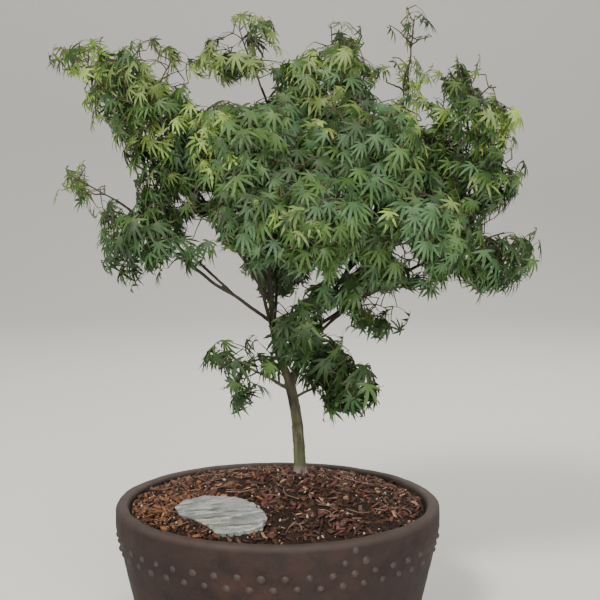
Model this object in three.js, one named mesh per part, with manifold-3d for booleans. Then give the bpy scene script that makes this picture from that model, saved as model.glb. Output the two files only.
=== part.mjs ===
// A Japanese maple kept as a bonsai, with its round studded clay pot, its soil and a flat slate.
// Millimetres, +Z up. The origin is the middle of the pot's flat underside, and -Y is the front.
import * as THREE from "three";
import { mergeVertices } from "three/addons/utils/BufferGeometryUtils.js";
import Module from "manifold-3d";

const wasm = await Module();
wasm.setup();

const UP = new THREE.Vector3(0, 0, 1);
const TURN = 2 * Math.PI;
const GAP = 0.3; // clear space between two neighbouring solids
const CLEARANCE = 1.3 * GAP; // how much fatter a limb's cutter is, so that flat facets keep the gap too
const FINEST_DETAIL = 0.02; // what is smaller is smoothed away once the pieces are joined

// Driving sizes of the pot.
const POT_RADIUS = 160;
const POT_HEIGHT = 115;
const POT_SIDES = 39;
const RIM_THICKNESS = 13;
const RIM_ROUND = 4;
const FLOOR_THICKNESS = 14;
const LIP_DEPTH = 26; // height of the upright band under the rim
const LIP_EASE = 6; // height over which the wall turns upright
const LIP_STEP = 1; // how far the upright band stands out
const WALL_LEAN = 0.22; // how far the wall comes in for each millimetre down
const FOOT_ROUND = 8; // height of the worn edge round the underside
const INNER_LEAN = 22; // how much narrower the hollow is at the floor than at the rim

// The studs: two rows all round, with two little peaks of studs above them, opposite each other.
const STUDS_ROUND = 46;
const STUD_PEAKS = 2;
const STUD_RADIUS = 2.8;
const STUD_STANDS = 2;
const STUD_SUNK = 1.2;
const STUD_SIDES = 5;
const STUD_ROW_PITCH = 11.2;
const LOW_STUD_ROW = 73.9;
const PEAK_TURN = THREE.MathUtils.degToRad(26.7); // from the front, towards the right

// The soil is a low mound, with a level pad under the trunk.
const SOIL_EDGE = 107;
const SOIL_CROWN = 132.8;
const SOIL_ROUGHNESS = 2.4; // how far its lumps of mulch rise and sink
const SOIL_RINGS = 5;
const SOIL_SEED = 7;
const PAD_RADIUS = 13;
const PAD_SPACE = 16; // height of the space that is taken off over the pad
const PAD_SIDES = 12;

// The slate, bedded a little way into the slope of the mound. Its outline is drawn out at both ends and has a
// piece broken out of its front left: each corner's turn in degrees and its distance from the middle.
const SLATE = { x: -52, y: -86, thickness: 8, bedded: 3, bevel: 1.6, turn: -0.42 };
const SLATE_OUTLINE = [
  [2, 47],
  [20, 40],
  [45, 34],
  [78, 32],
  [109, 35],
  [139, 45],
  [160, 51],
  [174, 50],
  [191, 40],
  [207, 27],
  [258, 21],
  [289, 35],
  [309, 40],
  [331, 47],
  [345, 52],
];

// The trunk stands on the soil behind the middle of the pot. Plant sizes are counted from its foot.
const FOOT = new THREE.Vector3(22, 45, 128.5);
const TRUNK_RADIUS = 6.1;
const FORK_RADIUS = 5.4;
const FLARE = 2.9;
const FLARE_HEIGHT = 7;
const TRUNK_SIDES = 10;
const TRUNK_RINGS = 8;
const RING_CROWDING = 1.7; // above 1, the trunk's rings crowd towards its foot
const TAPER_SHAPE = 0.8; // below 1, a limb thins fastest where it starts

// The trunk and the two leaders that it forks into, each from its thick end to its tip.
const point = (x, y, z) => new THREE.Vector3(x, y, z);
const TRUNK_LINE = [point(0, 0, 0), point(-1, 0, 28), point(-4, 0, 62), point(-11, 0, 99)];
const FORK_HEIGHT = TRUNK_LINE.at(-1).z;
const LEFT_LINE = [
  point(-10, 0, 95),
  point(-22, -1, 128),
  point(-28, 0, 156),
  point(-31, 5, 190),
  point(-33, 9, 240),
  point(-24, 9, 310),
  point(-18, 6, 368),
];
const RIGHT_LINE = [
  point(-9, 0, 92),
  point(3, -4, 130),
  point(11, -6, 152),
  point(28, -6, 180),
  point(57, -3, 224),
  point(86, 3, 280),
  point(104, 5, 350),
];
const LEFT_LEADER_RADIUS = 4.9;
const RIGHT_LEADER_RADIUS = 4.1;
const LEADER_TIP_RADIUS = 1.9;
const LEADER_SIDES = 6;
const LEADER_RINGS = 8;

// Boughs, stems and twigs.
const BOUGH_RADIUS = 3;
const BOUGH_SIDES = 5;
const BOUGH_RINGS = 3;
const BOUGH_RISE = 0.1; // how far a bough arches up, as a share of its length
const STRAIGHT_BOUGH = "left_low"; // the long one on the left, which runs straight
const SHORTEST_BOUGH = 16;
const CHILD_SHARE = 0.8; // a limb is at most this share of the thickness of the one that bears it
const STEM_RADIUS = 2.2;
const STEM_TIP_RADIUS = 1.5;
const STEM_RINGS = 2;
const TWIG_SIDES = 3;
const TWIG_RADIUS = 1.35;
const TWIG_TIP_RADIUS = 1;
const LONGEST_TWIG = 0.66; // as a share of the mass's reach
const SHORTEST_TWIG = 8;
const TWIG_SHRINK = 0.85; // how much shorter a twig is tried each time that it doesn't fit
const TWIG_AHEAD = 0.4; // how far twigs lean along the stem
const TWIG_FLATNESS = 0.8; // below 1, twigs spread wider than they are deep
const FIRST_PAIR = 0.3; // where the pairs of twigs start along the stem, and the stretch that they take up
const PAIR_STRETCH = 0.5;

// Foliage masses: where each one's middle is, how far it reaches, the limb that bears it, how far along
// that limb it forks off (0 to 1), how many pairs of twigs it has and the most leaves that it may have.
const MASSES = [
  { name: "left_low", at: [-147, -8, 243], reach: 54, limb: "leader_left", fork: 0.34, pairs: 2, leaves: 13 },
  { name: "left_sprig", at: [-212, 18, 292], reach: 36, limb: "left_low", fork: 0.44, pairs: 1, leaves: 5 },
  { name: "left_mid", at: [-125, 6, 315], reach: 49, limb: "leader_left", fork: 0.43, pairs: 2, leaves: 12 },
  { name: "left_up", at: [-150, -2, 384], reach: 58, limb: "leader_left", fork: 0.58, pairs: 2, leaves: 13 },
  { name: "left_tip", at: [-216, 0, 414], reach: 33, limb: "left_up", fork: 0.7, pairs: 1, leaves: 5 },
  { name: "crown_left", at: [-52, 8, 425], reach: 43, limb: "leader_left", fork: 0.9, pairs: 1, leaves: 11 },
  { name: "crown_mid", at: [30, -2, 412], reach: 48, limb: "leader_left", fork: 0.97, pairs: 1, leaves: 11 },
  { name: "heart_left", at: [-50, -48, 340], reach: 60, limb: "leader_left", fork: 0.66, pairs: 2, leaves: 12 },
  { name: "front_left", at: [-58, -78, 270], reach: 55, limb: "leader_left", fork: 0.235, pairs: 2, leaves: 13 },
  { name: "low_centre", at: [2, -34, 168], reach: 42, limb: "leader_left", fork: 0.16, pairs: 1, leaves: 8 },
  { name: "back_left", at: [-92, 85, 300], reach: 62, limb: "leader_left", fork: 0.5, pairs: 2, leaves: 10 },
  { name: "back_mid", at: [2, 105, 350], reach: 62, limb: "leader_left", fork: 0.63, pairs: 2, leaves: 11 },
  { name: "back_low", at: [-25, 92, 222], reach: 54, limb: "leader_left", fork: 0.27, pairs: 2, leaves: 9 },
  { name: "skirt_left", at: [-58, -6, 111], reach: 41, limb: "trunk", fork: 0.9, pairs: 1, leaves: 8 },
  { name: "skirt_right", at: [39, -4, 104], reach: 43, limb: "trunk", fork: 0.82, pairs: 1, leaves: 10 },
  { name: "low_right", at: [66, -38, 186], reach: 43, limb: "leader_right", fork: 0.2, pairs: 1, leaves: 8 },
  { name: "front_mid", at: [22, -92, 266], reach: 56, limb: "leader_right", fork: 0.5, pairs: 2, leaves: 11 },
  { name: "front_right", at: [104, -66, 250], reach: 58, limb: "leader_right", fork: 0.44, pairs: 2, leaves: 13 },
  { name: "right_low", at: [182, -6, 238], reach: 56, limb: "leader_right", fork: 0.32, pairs: 2, leaves: 13 },
  { name: "right_mid", at: [170, 2, 312], reach: 54, limb: "leader_right", fork: 0.62, pairs: 2, leaves: 13 },
  { name: "right_top", at: [176, 2, 380], reach: 48, limb: "leader_right", fork: 0.84, pairs: 1, leaves: 11 },
  { name: "right_up", at: [62, -42, 336], reach: 60, limb: "leader_right", fork: 0.68, pairs: 2, leaves: 13 },
  { name: "spire", at: [104, -12, 400], reach: 29, limb: "leader_right", fork: 0.87, pairs: 1, leaves: 7 },
  { name: "spire_tip", at: [112, 6, 447], reach: 31, limb: "leader_right", fork: 0.995, pairs: 1, leaves: 7 },
  { name: "back_right", at: [108, 90, 312], reach: 62, limb: "leader_right", fork: 0.6, pairs: 2, leaves: 11 },
  { name: "back_low_right", at: [90, 84, 226], reach: 52, limb: "leader_right", fork: 0.39, pairs: 2, leaves: 9 },
];
const FIRST_SEED = 101;
const SEED_STEP = 17;
const ENTRY_DEPTH = 0.8; // a bough ends within this share of its mass's reach
const PAST_THE_MIDDLE = 0.45; // how far a stem runs on past its mass's middle, as a share of its reach
const NEARBY = 1.2; // limbs within this share of a mass's reach can be in its way
const BORDER_MARGIN = 0.4; // what leaves keep free inside the border of their space
const LIMB_MARGIN = 0.8; // what leaves and twigs keep free beside a limb

// A maple leaf: half its outline as a turn from its middle lobe and a share of its length.
// The stalk is the last corner, and it ends inside the twig.
const LEAF_LENGTH = 32;
const LEAF_THICKNESS = 1.4;
const LEAF_DROOP = 0.2;
const FULL_SIZED_REACH = 50; // masses that reach less far have smaller leaves
const LEAF_TRIES = 1600;
const LARGEST_LEAF = 1.15; // the first tried leaves, as a share of the usual length
const LEAF_SHRINK = 0.5; // how much smaller the last tried leaves are
const LEAF_ROOM = 0.4; // what a leaf's middle keeps to its space's border, as a share of its length
const LEAF_DIP = [0.1, 0.7]; // the least and the most that a leaf points down
const FACE_SPREAD = 0.7; // how unevenly the leaves' faces are turned
const FACE_OUTWARD = 0.9; // how far the outer leaves' faces turn out of the crown
const CROWN_CORE = 100; // radius at which they do
const LEAF_SPACING = 1.2; // between two leaves of one mass
const LEAF_TWIST = 2; // the widest turn between the way of a stalk and the way its leaf points
const STALK_NOTCH = THREE.MathUtils.degToRad(16); // the least turn between a stalk and the lobes beside it
const STALK_SHORTEST = 10;
const STALK_LONGEST = 34;
const STALK_SUNK = 0.4; // how far the stalk runs on past the middle line of the twig
const LEAF_OUTLINE = [
  [0, 1],
  [24, 0.44],
  [48, 0.88],
  [77, 0.38],
  [106, 0.6],
  [152, 0.17],
];
const LAST_CORNER = LEAF_OUTLINE.length - 1;

const BARK = new THREE.MeshStandardMaterial({ color: 0x5c5040, roughness: 0.85, metalness: 0 });
const LEAF_GREEN = new THREE.MeshStandardMaterial({ color: 0x2f5a35, roughness: 0.6, metalness: 0 });
const CLAY = new THREE.MeshStandardMaterial({ color: 0x44362f, roughness: 0.8, metalness: 0 });
const EARTH = new THREE.MeshStandardMaterial({ color: 0x3a2318, roughness: 0.95, metalness: 0 });
const STONE = new THREE.MeshStandardMaterial({ color: 0x9aa39f, roughness: 0.75, metalness: 0 });

// A closed geometry as a solid that can be joined and cut.
function solidOf(geometry) {
  const bare = geometry.clone();
  bare.deleteAttribute("normal");
  bare.deleteAttribute("uv");
  const merged = mergeVertices(bare, 1e-4);
  const mesh = new wasm.Mesh({
    numProp: 3,
    vertProperties: merged.attributes.position.array,
    triVerts: new Uint32Array(merged.index.array),
  });
  return new wasm.Manifold(mesh);
}

// The largest body of a solid as a geometry, without loose scraps or slivers.
function geometryOf(solid) {
  const bodies = solid.simplify(FINEST_DETAIL).decompose();
  bodies.sort((a, b) => b.volume() - a.volume());
  const mesh = bodies[0].getMesh();
  const geometry = new THREE.BufferGeometry();
  geometry.setAttribute("position", new THREE.BufferAttribute(mesh.vertProperties, 3));
  geometry.setIndex(new THREE.BufferAttribute(mesh.triVerts, 1));
  const flat = geometry.toNonIndexed();
  flat.computeVertexNormals();
  return flat;
}

// Numbers from 0 to 1 that follow from the seed alone.
function seeded(seed) {
  let state = seed >>> 0;
  return () => {
    state = (Math.imul(state, 1664525) + 1013904223) >>> 0;
    return state / 4294967296;
  };
}

// The pot's outline from the axis round to the axis, as radius and height.
function potProfile() {
  const lipFoot = POT_HEIGHT - LIP_DEPTH;
  const footRadius = POT_RADIUS - LIP_STEP - WALL_LEAN * (lipFoot - FOOT_ROUND);
  const inner = POT_RADIUS - RIM_THICKNESS;
  return [
    [0, 0],
    [footRadius - FOOT_ROUND, 0],
    [footRadius, FOOT_ROUND],
    [POT_RADIUS - LIP_STEP, lipFoot],
    [POT_RADIUS, lipFoot + LIP_EASE],
    [POT_RADIUS, POT_HEIGHT - RIM_ROUND],
    [POT_RADIUS - RIM_ROUND, POT_HEIGHT],
    [inner + RIM_ROUND, POT_HEIGHT],
    [inner, POT_HEIGHT - RIM_ROUND],
    [inner - INNER_LEAN, FLOOR_THICKNESS],
    [0, FLOOR_THICKNESS],
  ];
}

// A profile turned about the Z axis, with the middle of one facet at the foremost peak of studs.
function turned(profile) {
  const outline = profile.map(([radius, height]) => new THREE.Vector2(radius, height));
  const start = PEAK_TURN - TURN / POT_SIDES / 2;
  return new THREE.LatheGeometry(outline, POT_SIDES, start).rotateX(TURN / 4);
}

// Radius and lean of the pot's outer wall at a height.
function wallAt(height) {
  const lipFoot = POT_HEIGHT - LIP_DEPTH;
  if (height >= lipFoot + LIP_EASE) return { radius: POT_RADIUS, lean: 0 };
  const eased = (LIP_STEP * Math.max(0, height - lipFoot)) / LIP_EASE;
  const leant = WALL_LEAN * Math.max(0, lipFoot - height);
  return { radius: POT_RADIUS - LIP_STEP + eased - leant, lean: WALL_LEAN };
}

// One stud, a low pointed boss set on the wall.
function studAt(turn, height) {
  const { radius, lean } = wallAt(height);
  const tall = STUD_STANDS + STUD_SUNK;
  const boss = new THREE.ConeGeometry((STUD_RADIUS * tall) / STUD_STANDS, tall, STUD_SIDES);
  boss.rotateY(TURN / 4);
  boss.rotateZ(-TURN / 4);
  boss.rotateY(Math.atan(lean));
  boss.translate(radius + (STUD_STANDS - STUD_SUNK) / 2, 0, height);
  return solidOf(boss.rotateZ(turn));
}

function studs() {
  const made = [];
  const step = TURN / STUDS_ROUND;
  const place = (index, row) => {
    const turn = PEAK_TURN - TURN / 4 + index * step;
    made.push(studAt(turn, LOW_STUD_ROW + row * STUD_ROW_PITCH));
  };
  for (let i = 0; i < STUDS_ROUND; i++) {
    place(i + 0.5, 0);
    place(i, 1);
  }
  for (let peak = 0; peak < STUD_PEAKS; peak++) {
    const middle = (peak * STUDS_ROUND) / STUD_PEAKS;
    place(middle - 0.5, 2);
    place(middle + 0.5, 2);
    place(middle, 3);
  }
  return made;
}

function potSolid() {
  return wasm.Manifold.union([solidOf(turned(potProfile())), ...studs()]);
}

const moundHeight = (radius) => {
  const edge = POT_RADIUS - RIM_THICKNESS;
  return SOIL_CROWN - (SOIL_CROWN - SOIL_EDGE) * (radius / edge) ** 2;
};

// Radius of the pot's hollow at a height.
const hollowRadius = (height) => {
  const rise = (POT_HEIGHT - RIM_ROUND - height) / (POT_HEIGHT - RIM_ROUND - FLOOR_THICKNESS);
  return POT_RADIUS - RIM_THICKNESS - INNER_LEAN * rise;
};

// The soil mound fills the pot to just inside its wall. Its top is uneven.
function soilSolid() {
  const shy = 1.5 * GAP;
  const edge = hollowRadius(SOIL_EDGE) - shy;
  const bottom = FLOOR_THICKNESS + GAP;
  const profile = [[0, bottom], [hollowRadius(bottom) - shy, bottom]];
  for (let ring = SOIL_RINGS; ring >= 0; ring--) {
    const radius = (edge * ring) / SOIL_RINGS;
    profile.push([radius, moundHeight(radius)]);
  }
  const bare = turned(profile).deleteAttribute("normal").deleteAttribute("uv");
  const merged = mergeVertices(bare, 1e-4);
  const spots = merged.attributes.position;
  const random = seeded(SOIL_SEED);
  for (let i = 0; i < spots.count; i++) {
    const radius = Math.hypot(spots.getX(i), spots.getY(i));
    const onTop = spots.getZ(i) > SOIL_EDGE + 1 && radius < edge - 1;
    if (onTop) spots.setZ(i, spots.getZ(i) + (random() - 0.5) * 2 * SOIL_ROUGHNESS);
  }
  return solidOf(merged);
}

// The level pad for the trunk, as the space that is taken off the mound.
function padSpace() {
  const space = new THREE.CylinderGeometry(PAD_RADIUS + PAD_SPACE / 2, PAD_RADIUS, PAD_SPACE, PAD_SIDES);
  space.rotateX(TURN / 4);
  return solidOf(space.translate(FOOT.x, FOOT.y, FOOT.z - GAP + PAD_SPACE / 2));
}

// The slate is a flat flake with an uneven rim, laid along the slope of the mound.
function slateSolid(grow = 0) {
  const outline = SLATE_OUTLINE.map(([degrees, far]) => {
    const turn = THREE.MathUtils.degToRad(degrees);
    return new THREE.Vector2((far + 2 * grow) * Math.cos(turn), (far + 2 * grow) * Math.sin(turn));
  });
  const flake = new THREE.ExtrudeGeometry(new THREE.Shape(outline), {
    depth: SLATE.thickness - 2 * SLATE.bevel + 2 * grow,
    bevelThickness: SLATE.bevel,
    bevelSize: SLATE.bevel,
    bevelOffset: -SLATE.bevel,
    bevelSegments: 1,
  });
  const radius = Math.hypot(SLATE.x, SLATE.y);
  const slope = Math.atan((2 * (SOIL_CROWN - SOIL_EDGE) * radius) / (POT_RADIUS - RIM_THICKNESS) ** 2);
  const downhill = Math.atan2(SLATE.y, SLATE.x);
  flake.translate(0, 0, SLATE.bevel - grow - SLATE.bedded);
  flake.rotateZ(SLATE.turn - downhill);
  flake.rotateY(slope);
  flake.rotateZ(downhill);
  return solidOf(flake.translate(SLATE.x, SLATE.y, moundHeight(radius)));
}

// A stretch of a curve as a limb: a cylinder whose rings are set along the curve, each at its own radius.
function limbGeometry(curve, from, to, radiusAt, sides, rings, grow = 0) {
  const geometry = new THREE.CylinderGeometry(1, 1, 1, sides, rings);
  const chord = curve.getPoint(to).sub(curve.getPoint(from));
  const size = [Math.abs(chord.x), Math.abs(chord.y), Math.abs(chord.z)];
  const reference = new THREE.Vector3().setComponent(size.indexOf(Math.min(...size)), 1);
  const spots = geometry.attributes.position;
  for (let i = 0; i < spots.count; i++) {
    const share = spots.getY(i) + 0.5;
    const at = from + (to - from) * share;
    const tangent = curve.getTangent(at);
    const side = tangent.clone().cross(reference).normalize();
    const across = side.clone().cross(tangent);
    const radius = radiusAt(share) + grow;
    const spot = curve.getPoint(at).addScaledVector(tangent, share === 1 ? grow : 0);
    spot.addScaledVector(side, spots.getX(i) * radius);
    spot.addScaledVector(across, spots.getZ(i) * radius);
    spots.setXYZ(i, spot.x, spot.y, spot.z);
  }
  return geometry;
}

const taper = (thick, thin) => (share) => thick + (thin - thick) * share ** TAPER_SHAPE;

const trunkRadius = (height) => {
  const body = TRUNK_RADIUS + (FORK_RADIUS - TRUNK_RADIUS) * (height / FORK_HEIGHT);
  return body + FLARE * Math.exp(-height / FLARE_HEIGHT);
};

// The trunk, from its flat cut on the soil to the fork. Its level rings are closest together in the flare.
function trunkSolid(curve, grow = 0) {
  const geometry = new THREE.CylinderGeometry(1, 1, 1, TRUNK_SIDES, TRUNK_RINGS);
  const spots = geometry.attributes.position;
  for (let i = 0; i < spots.count; i++) {
    const share = (spots.getY(i) + 0.5) ** RING_CROWDING;
    const middle = curve.getPoint(share);
    const radius = trunkRadius(middle.z) + grow;
    const height = middle.z + (share === 1 ? grow : 0);
    spots.setXYZ(i, middle.x + spots.getX(i) * radius, middle.y - spots.getZ(i) * radius, height);
  }
  return solidOf(geometry);
}

// A straight piece of the plant for tests of clearance: its ends and its half width.
const straight = (from, to, half) => ({ line: new THREE.Line3(from, to), half });

// The straight pieces that follow a limb.
function piecesOf(curve, to, radiusAt, steps) {
  const made = [];
  for (let i = 0; i < steps; i++) {
    const start = curve.getPoint((to * i) / steps);
    const end = curve.getPoint((to * (i + 1)) / steps);
    made.push(straight(start, end, radiusAt(i / steps)));
  }
  return made;
}

// A limb from its thick end to its tip, and the fatter copy of it that cuts what grows out of it.
function limbOf(curve, to, thick, thin, sides, rings) {
  const radiusAt = taper(thick, thin);
  return {
    curve,
    to,
    radiusAt,
    solid: solidOf(limbGeometry(curve, 0, to, radiusAt, sides, rings)),
    cutter: solidOf(limbGeometry(curve, 0, to, radiusAt, sides, rings, CLEARANCE)),
    pieces: piecesOf(curve, to, radiusAt, 2 * rings),
  };
}

function trunkLimb() {
  const curve = new THREE.CatmullRomCurve3(TRUNK_LINE, false, "catmullrom");
  const radiusAt = (share) => trunkRadius(curve.getPoint(share).z);
  const pieces = piecesOf(curve, 1, radiusAt, TRUNK_RINGS);
  return { curve, to: 1, radiusAt, solid: trunkSolid(curve), cutter: trunkSolid(curve, CLEARANCE), pieces };
}

function leaderLimb(line, thick) {
  const curve = new THREE.CatmullRomCurve3(line, false, "catmullrom");
  return limbOf(curve, 1, thick, LEADER_TIP_RADIUS, LEADER_SIDES, LEADER_RINGS);
}

// How far inside a mass's own space a spot lies. Between two masses the border is a flat plane.
function roomAround(spot, mass) {
  let room = mass.reach - spot.distanceTo(mass.middle);
  for (const other of mass.neighbours) {
    const mine = spot.distanceToSquared(mass.middle) - mass.reach ** 2;
    const theirs = spot.distanceToSquared(other.middle) - other.reach ** 2;
    room = Math.min(room, (theirs - mine) / (2 * mass.middle.distanceTo(other.middle)));
  }
  return room;
}

function clearOf(pieces, obstacles, margin) {
  return pieces.every((piece) => obstacles.every((other) => {
    const least = piece.half + other.half + margin;
    return piece.line.distanceSqToLine3(other.line) > least ** 2;
  }));
}

const keepsToSpace = (spots, mass, margin) => spots.every((spot) => roomAround(spot, mass) > margin);

// A bough's line: from inside its limb, arching up a little, through its mass's middle and past it.
function boughLine(limb, mass) {
  const start = limb.curve.getPoint(limb.to * mass.fork);
  const run = mass.middle.clone().sub(start);
  const end = mass.middle.clone().addScaledVector(run.clone().normalize(), PAST_THE_MIDDLE * mass.reach);
  const control = start.clone().add(end).multiplyScalar(0.5);
  if (mass.name !== STRAIGHT_BOUGH) control.addScaledVector(UP, BOUGH_RISE * run.length());
  return new THREE.QuadraticBezierCurve3(start, control, end);
}

// How far along its curve a bough enters its mass's own space, where the bough ends and the stem begins.
function entryOf(curve, mass) {
  const step = 0.02;
  for (let at = 0; at < 1; at += step) {
    const spot = curve.getPoint(at);
    const near = spot.distanceTo(mass.middle) < ENTRY_DEPTH * mass.reach;
    if (near && roomAround(spot, mass) > STEM_RADIUS) return at;
  }
  throw new Error(mass.name + " is never reached");
}

// How far round from its middle lobe a leaf's stalk leaves it on one hand, in the plane of the blade.
function stalkTurn(leaf, hand) {
  const run = leaf.stalkEnd.clone().sub(leaf.blade);
  const turn = hand * Math.atan2(run.dot(leaf.side), run.dot(leaf.ahead));
  return turn < 0 ? turn + TURN : turn;
}

// How far round one of the rim's corners lies. The last one stands midway between lobe and stalk.
function cornerTurn(leaf, corner, hand) {
  const turn = THREE.MathUtils.degToRad(LEAF_OUTLINE[corner][0]);
  if (corner < LAST_CORNER) return turn;
  return (cornerTurn(leaf, corner - 1, hand) + stalkTurn(leaf, hand)) / 2;
}

// Where one of the rim's corners lies, counted from the middle lobe round to the stalk on either hand.
function cornerOf(leaf, corner, hand) {
  if (corner > LAST_CORNER) return leaf.stalkEnd;
  const turn = cornerTurn(leaf, corner, hand) * hand;
  const share = LEAF_OUTLINE[corner][1];
  const far = share * leaf.length;
  const spot = leaf.blade.clone().addScaledVector(leaf.ahead, far * Math.cos(turn));
  spot.addScaledVector(leaf.normal, -LEAF_DROOP * far * share);
  return spot.addScaledVector(leaf.side, far * Math.sin(turn));
}

// Whether a leaf's stalk keeps clear of the lobes beside it, so that its rim doesn't cross itself.
function keepsFlat(leaf) {
  return [-1, 1].every((hand) => {
    const turn = stalkTurn(leaf, hand) - cornerTurn(leaf, LAST_CORNER - 1, hand);
    return turn > STALK_NOTCH && turn < TURN / 2;
  });
}

// One leaf: a double cone whose rim is drawn out into the lobes and the stalk.
function leafSolid(leaf) {
  const sides = 2 * LEAF_OUTLINE.length;
  const geometry = new THREE.SphereGeometry(1, sides, 2);
  const spots = geometry.attributes.position;
  for (let i = 0; i < spots.count; i++) {
    const above = Math.round(spots.getY(i));
    const turn = Math.atan2(spots.getZ(i), spots.getX(i));
    const corner = Math.round((Math.abs(turn) / TURN) * sides);
    const middle = leaf.blade.clone().addScaledVector(leaf.normal, (above * LEAF_THICKNESS) / 2);
    const spot = above === 0 ? cornerOf(leaf, corner, Math.sign(turn)) : middle;
    spots.setXYZ(i, spot.x, spot.y, spot.z);
  }
  return solidOf(geometry);
}

// A leaf with its blade at a spot and its stalk rooted in a twig. It points away from its root and hangs
// a little, and its face is turned up and out of the crown.
function leafAt(blade, root, length, random) {
  const stalk = blade.clone().sub(root).normalize();
  const ahead = point(stalk.x, stalk.y, 0).normalize().applyAxisAngle(UP, LEAF_TWIST * (random() - 0.5));
  ahead.z = -THREE.MathUtils.lerp(...LEAF_DIP, random());
  ahead.normalize();
  const outward = point(blade.x, blade.y, 0).divideScalar(CROWN_CORE).clampLength(0, FACE_OUTWARD);
  const face = UP.clone().add(outward);
  face.x += (random() - 0.5) * FACE_SPREAD;
  face.y += (random() - 0.5) * FACE_SPREAD;
  const side = ahead.clone().cross(face).normalize();
  const normal = side.clone().cross(ahead);
  const stalkEnd = root.clone().addScaledVector(stalk, -STALK_SUNK);
  return { blade, root, ahead, side, normal, length, stalkEnd };
}

// The straight pieces of a leaf: its stalk, and the middle line and the two edges of every lobe.
function piecesOfLeaf(leaf) {
  const made = [straight(leaf.root.clone().lerp(leaf.blade, 0.35), leaf.blade, LEAF_THICKNESS / 2)];
  const lobes = [[4, -1], [2, -1], [0, 1], [2, 1], [4, 1]];
  for (const [corner, hand] of lobes) {
    const tip = cornerOf(leaf, corner, hand);
    made.push(straight(leaf.blade, tip, LEAF_THICKNESS / 2));
    made.push(straight(cornerOf(leaf, corner + 1, hand), tip, LEAF_THICKNESS / 3));
    made.push(straight(cornerOf(leaf, Math.abs(corner - 1), corner ? hand : -hand), tip, LEAF_THICKNESS / 3));
  }
  return made;
}

// The root of a leaf's stalk: the nearest place on a mass's stem or twigs.
function nearestRoot(blade, axes) {
  let best = null;
  for (const axis of axes) {
    const spot = axis.closestPointToPoint(blade, true, new THREE.Vector3());
    if (!best || spot.distanceTo(blade) < best.distanceTo(blade)) best = spot;
  }
  return best;
}

// Deals leaves out over a mass's space. One that doesn't fit is skipped, and later ones are smaller.
function growLeaves(mass, axes, obstacles, random) {
  const leaves = [];
  const taken = [];
  const largest = LEAF_LENGTH * Math.min(1, mass.reach / FULL_SIZED_REACH);
  for (let attempt = 0; attempt < LEAF_TRIES && leaves.length < mass.leaves; attempt++) {
    const length = largest * (LARGEST_LEAF - (LEAF_SHRINK * attempt) / LEAF_TRIES);
    const blade = point(random() - 0.5, random() - 0.5, random() - 0.5);
    blade.multiplyScalar(2 * mass.reach).add(mass.middle);
    if (roomAround(blade, mass) < LEAF_ROOM * length) continue;
    const root = nearestRoot(blade, axes);
    const far = root.distanceTo(blade);
    if (far < STALK_SHORTEST || far > STALK_LONGEST) continue;
    const leaf = leafAt(blade, root, length, random);
    if (!keepsFlat(leaf)) continue;
    const pieces = piecesOfLeaf(leaf);
    const corners = pieces.map(({ line }) => line.end).concat(pieces.map(({ line }) => line.start));
    if (!keepsToSpace(corners, mass, BORDER_MARGIN)) continue;
    if (!clearOf(pieces, obstacles, LIMB_MARGIN) || !clearOf(pieces, taken, LEAF_SPACING)) continue;
    leaves.push(leaf);
    taken.push(...pieces);
  }
  return leaves;
}

// Twigs leave the stem in opposite pairs, each pair turned across the one before it.
function twigHeadings(stem, at, pair, random) {
  const tangent = stem.getTangent(at);
  const level = tangent.clone().cross(UP).normalize();
  const rise = level.clone().cross(tangent);
  const turn = pair * (TURN / 4) + 0.4 + (random() - 0.5) * 0.6;
  return [0, TURN / 2].map((half) => {
    const heading = tangent.clone().multiplyScalar(TWIG_AHEAD);
    heading.addScaledVector(level, Math.cos(turn + half));
    heading.addScaledVector(rise, TWIG_FLATNESS * Math.sin(turn + half));
    return heading.normalize();
  });
}

// A mass's twigs, each as long as its space lets it be. One that would be too short is skipped.
function growTwigs(mass, stem, obstacles, random) {
  const twigs = [];
  for (let pair = 0; pair < mass.pairs; pair++) {
    const at = mass.entry + (1 - mass.entry) * (FIRST_PAIR + (PAIR_STRETCH * pair) / mass.pairs);
    const root = stem.getPoint(at);
    for (const heading of twigHeadings(stem, at, pair, random)) {
      for (let length = LONGEST_TWIG * mass.reach; length > SHORTEST_TWIG; length *= TWIG_SHRINK) {
        const tip = root.clone().addScaledVector(heading, length);
        const outer = straight(root.clone().lerp(tip, 0.4), tip, TWIG_RADIUS);
        const fits = keepsToSpace([tip], mass, 4 * TWIG_RADIUS) && clearOf([outer], obstacles, LIMB_MARGIN);
        if (!fits) continue;
        twigs.push(new THREE.LineCurve3(root, tip));
        break;
      }
    }
  }
  return twigs;
}

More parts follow.
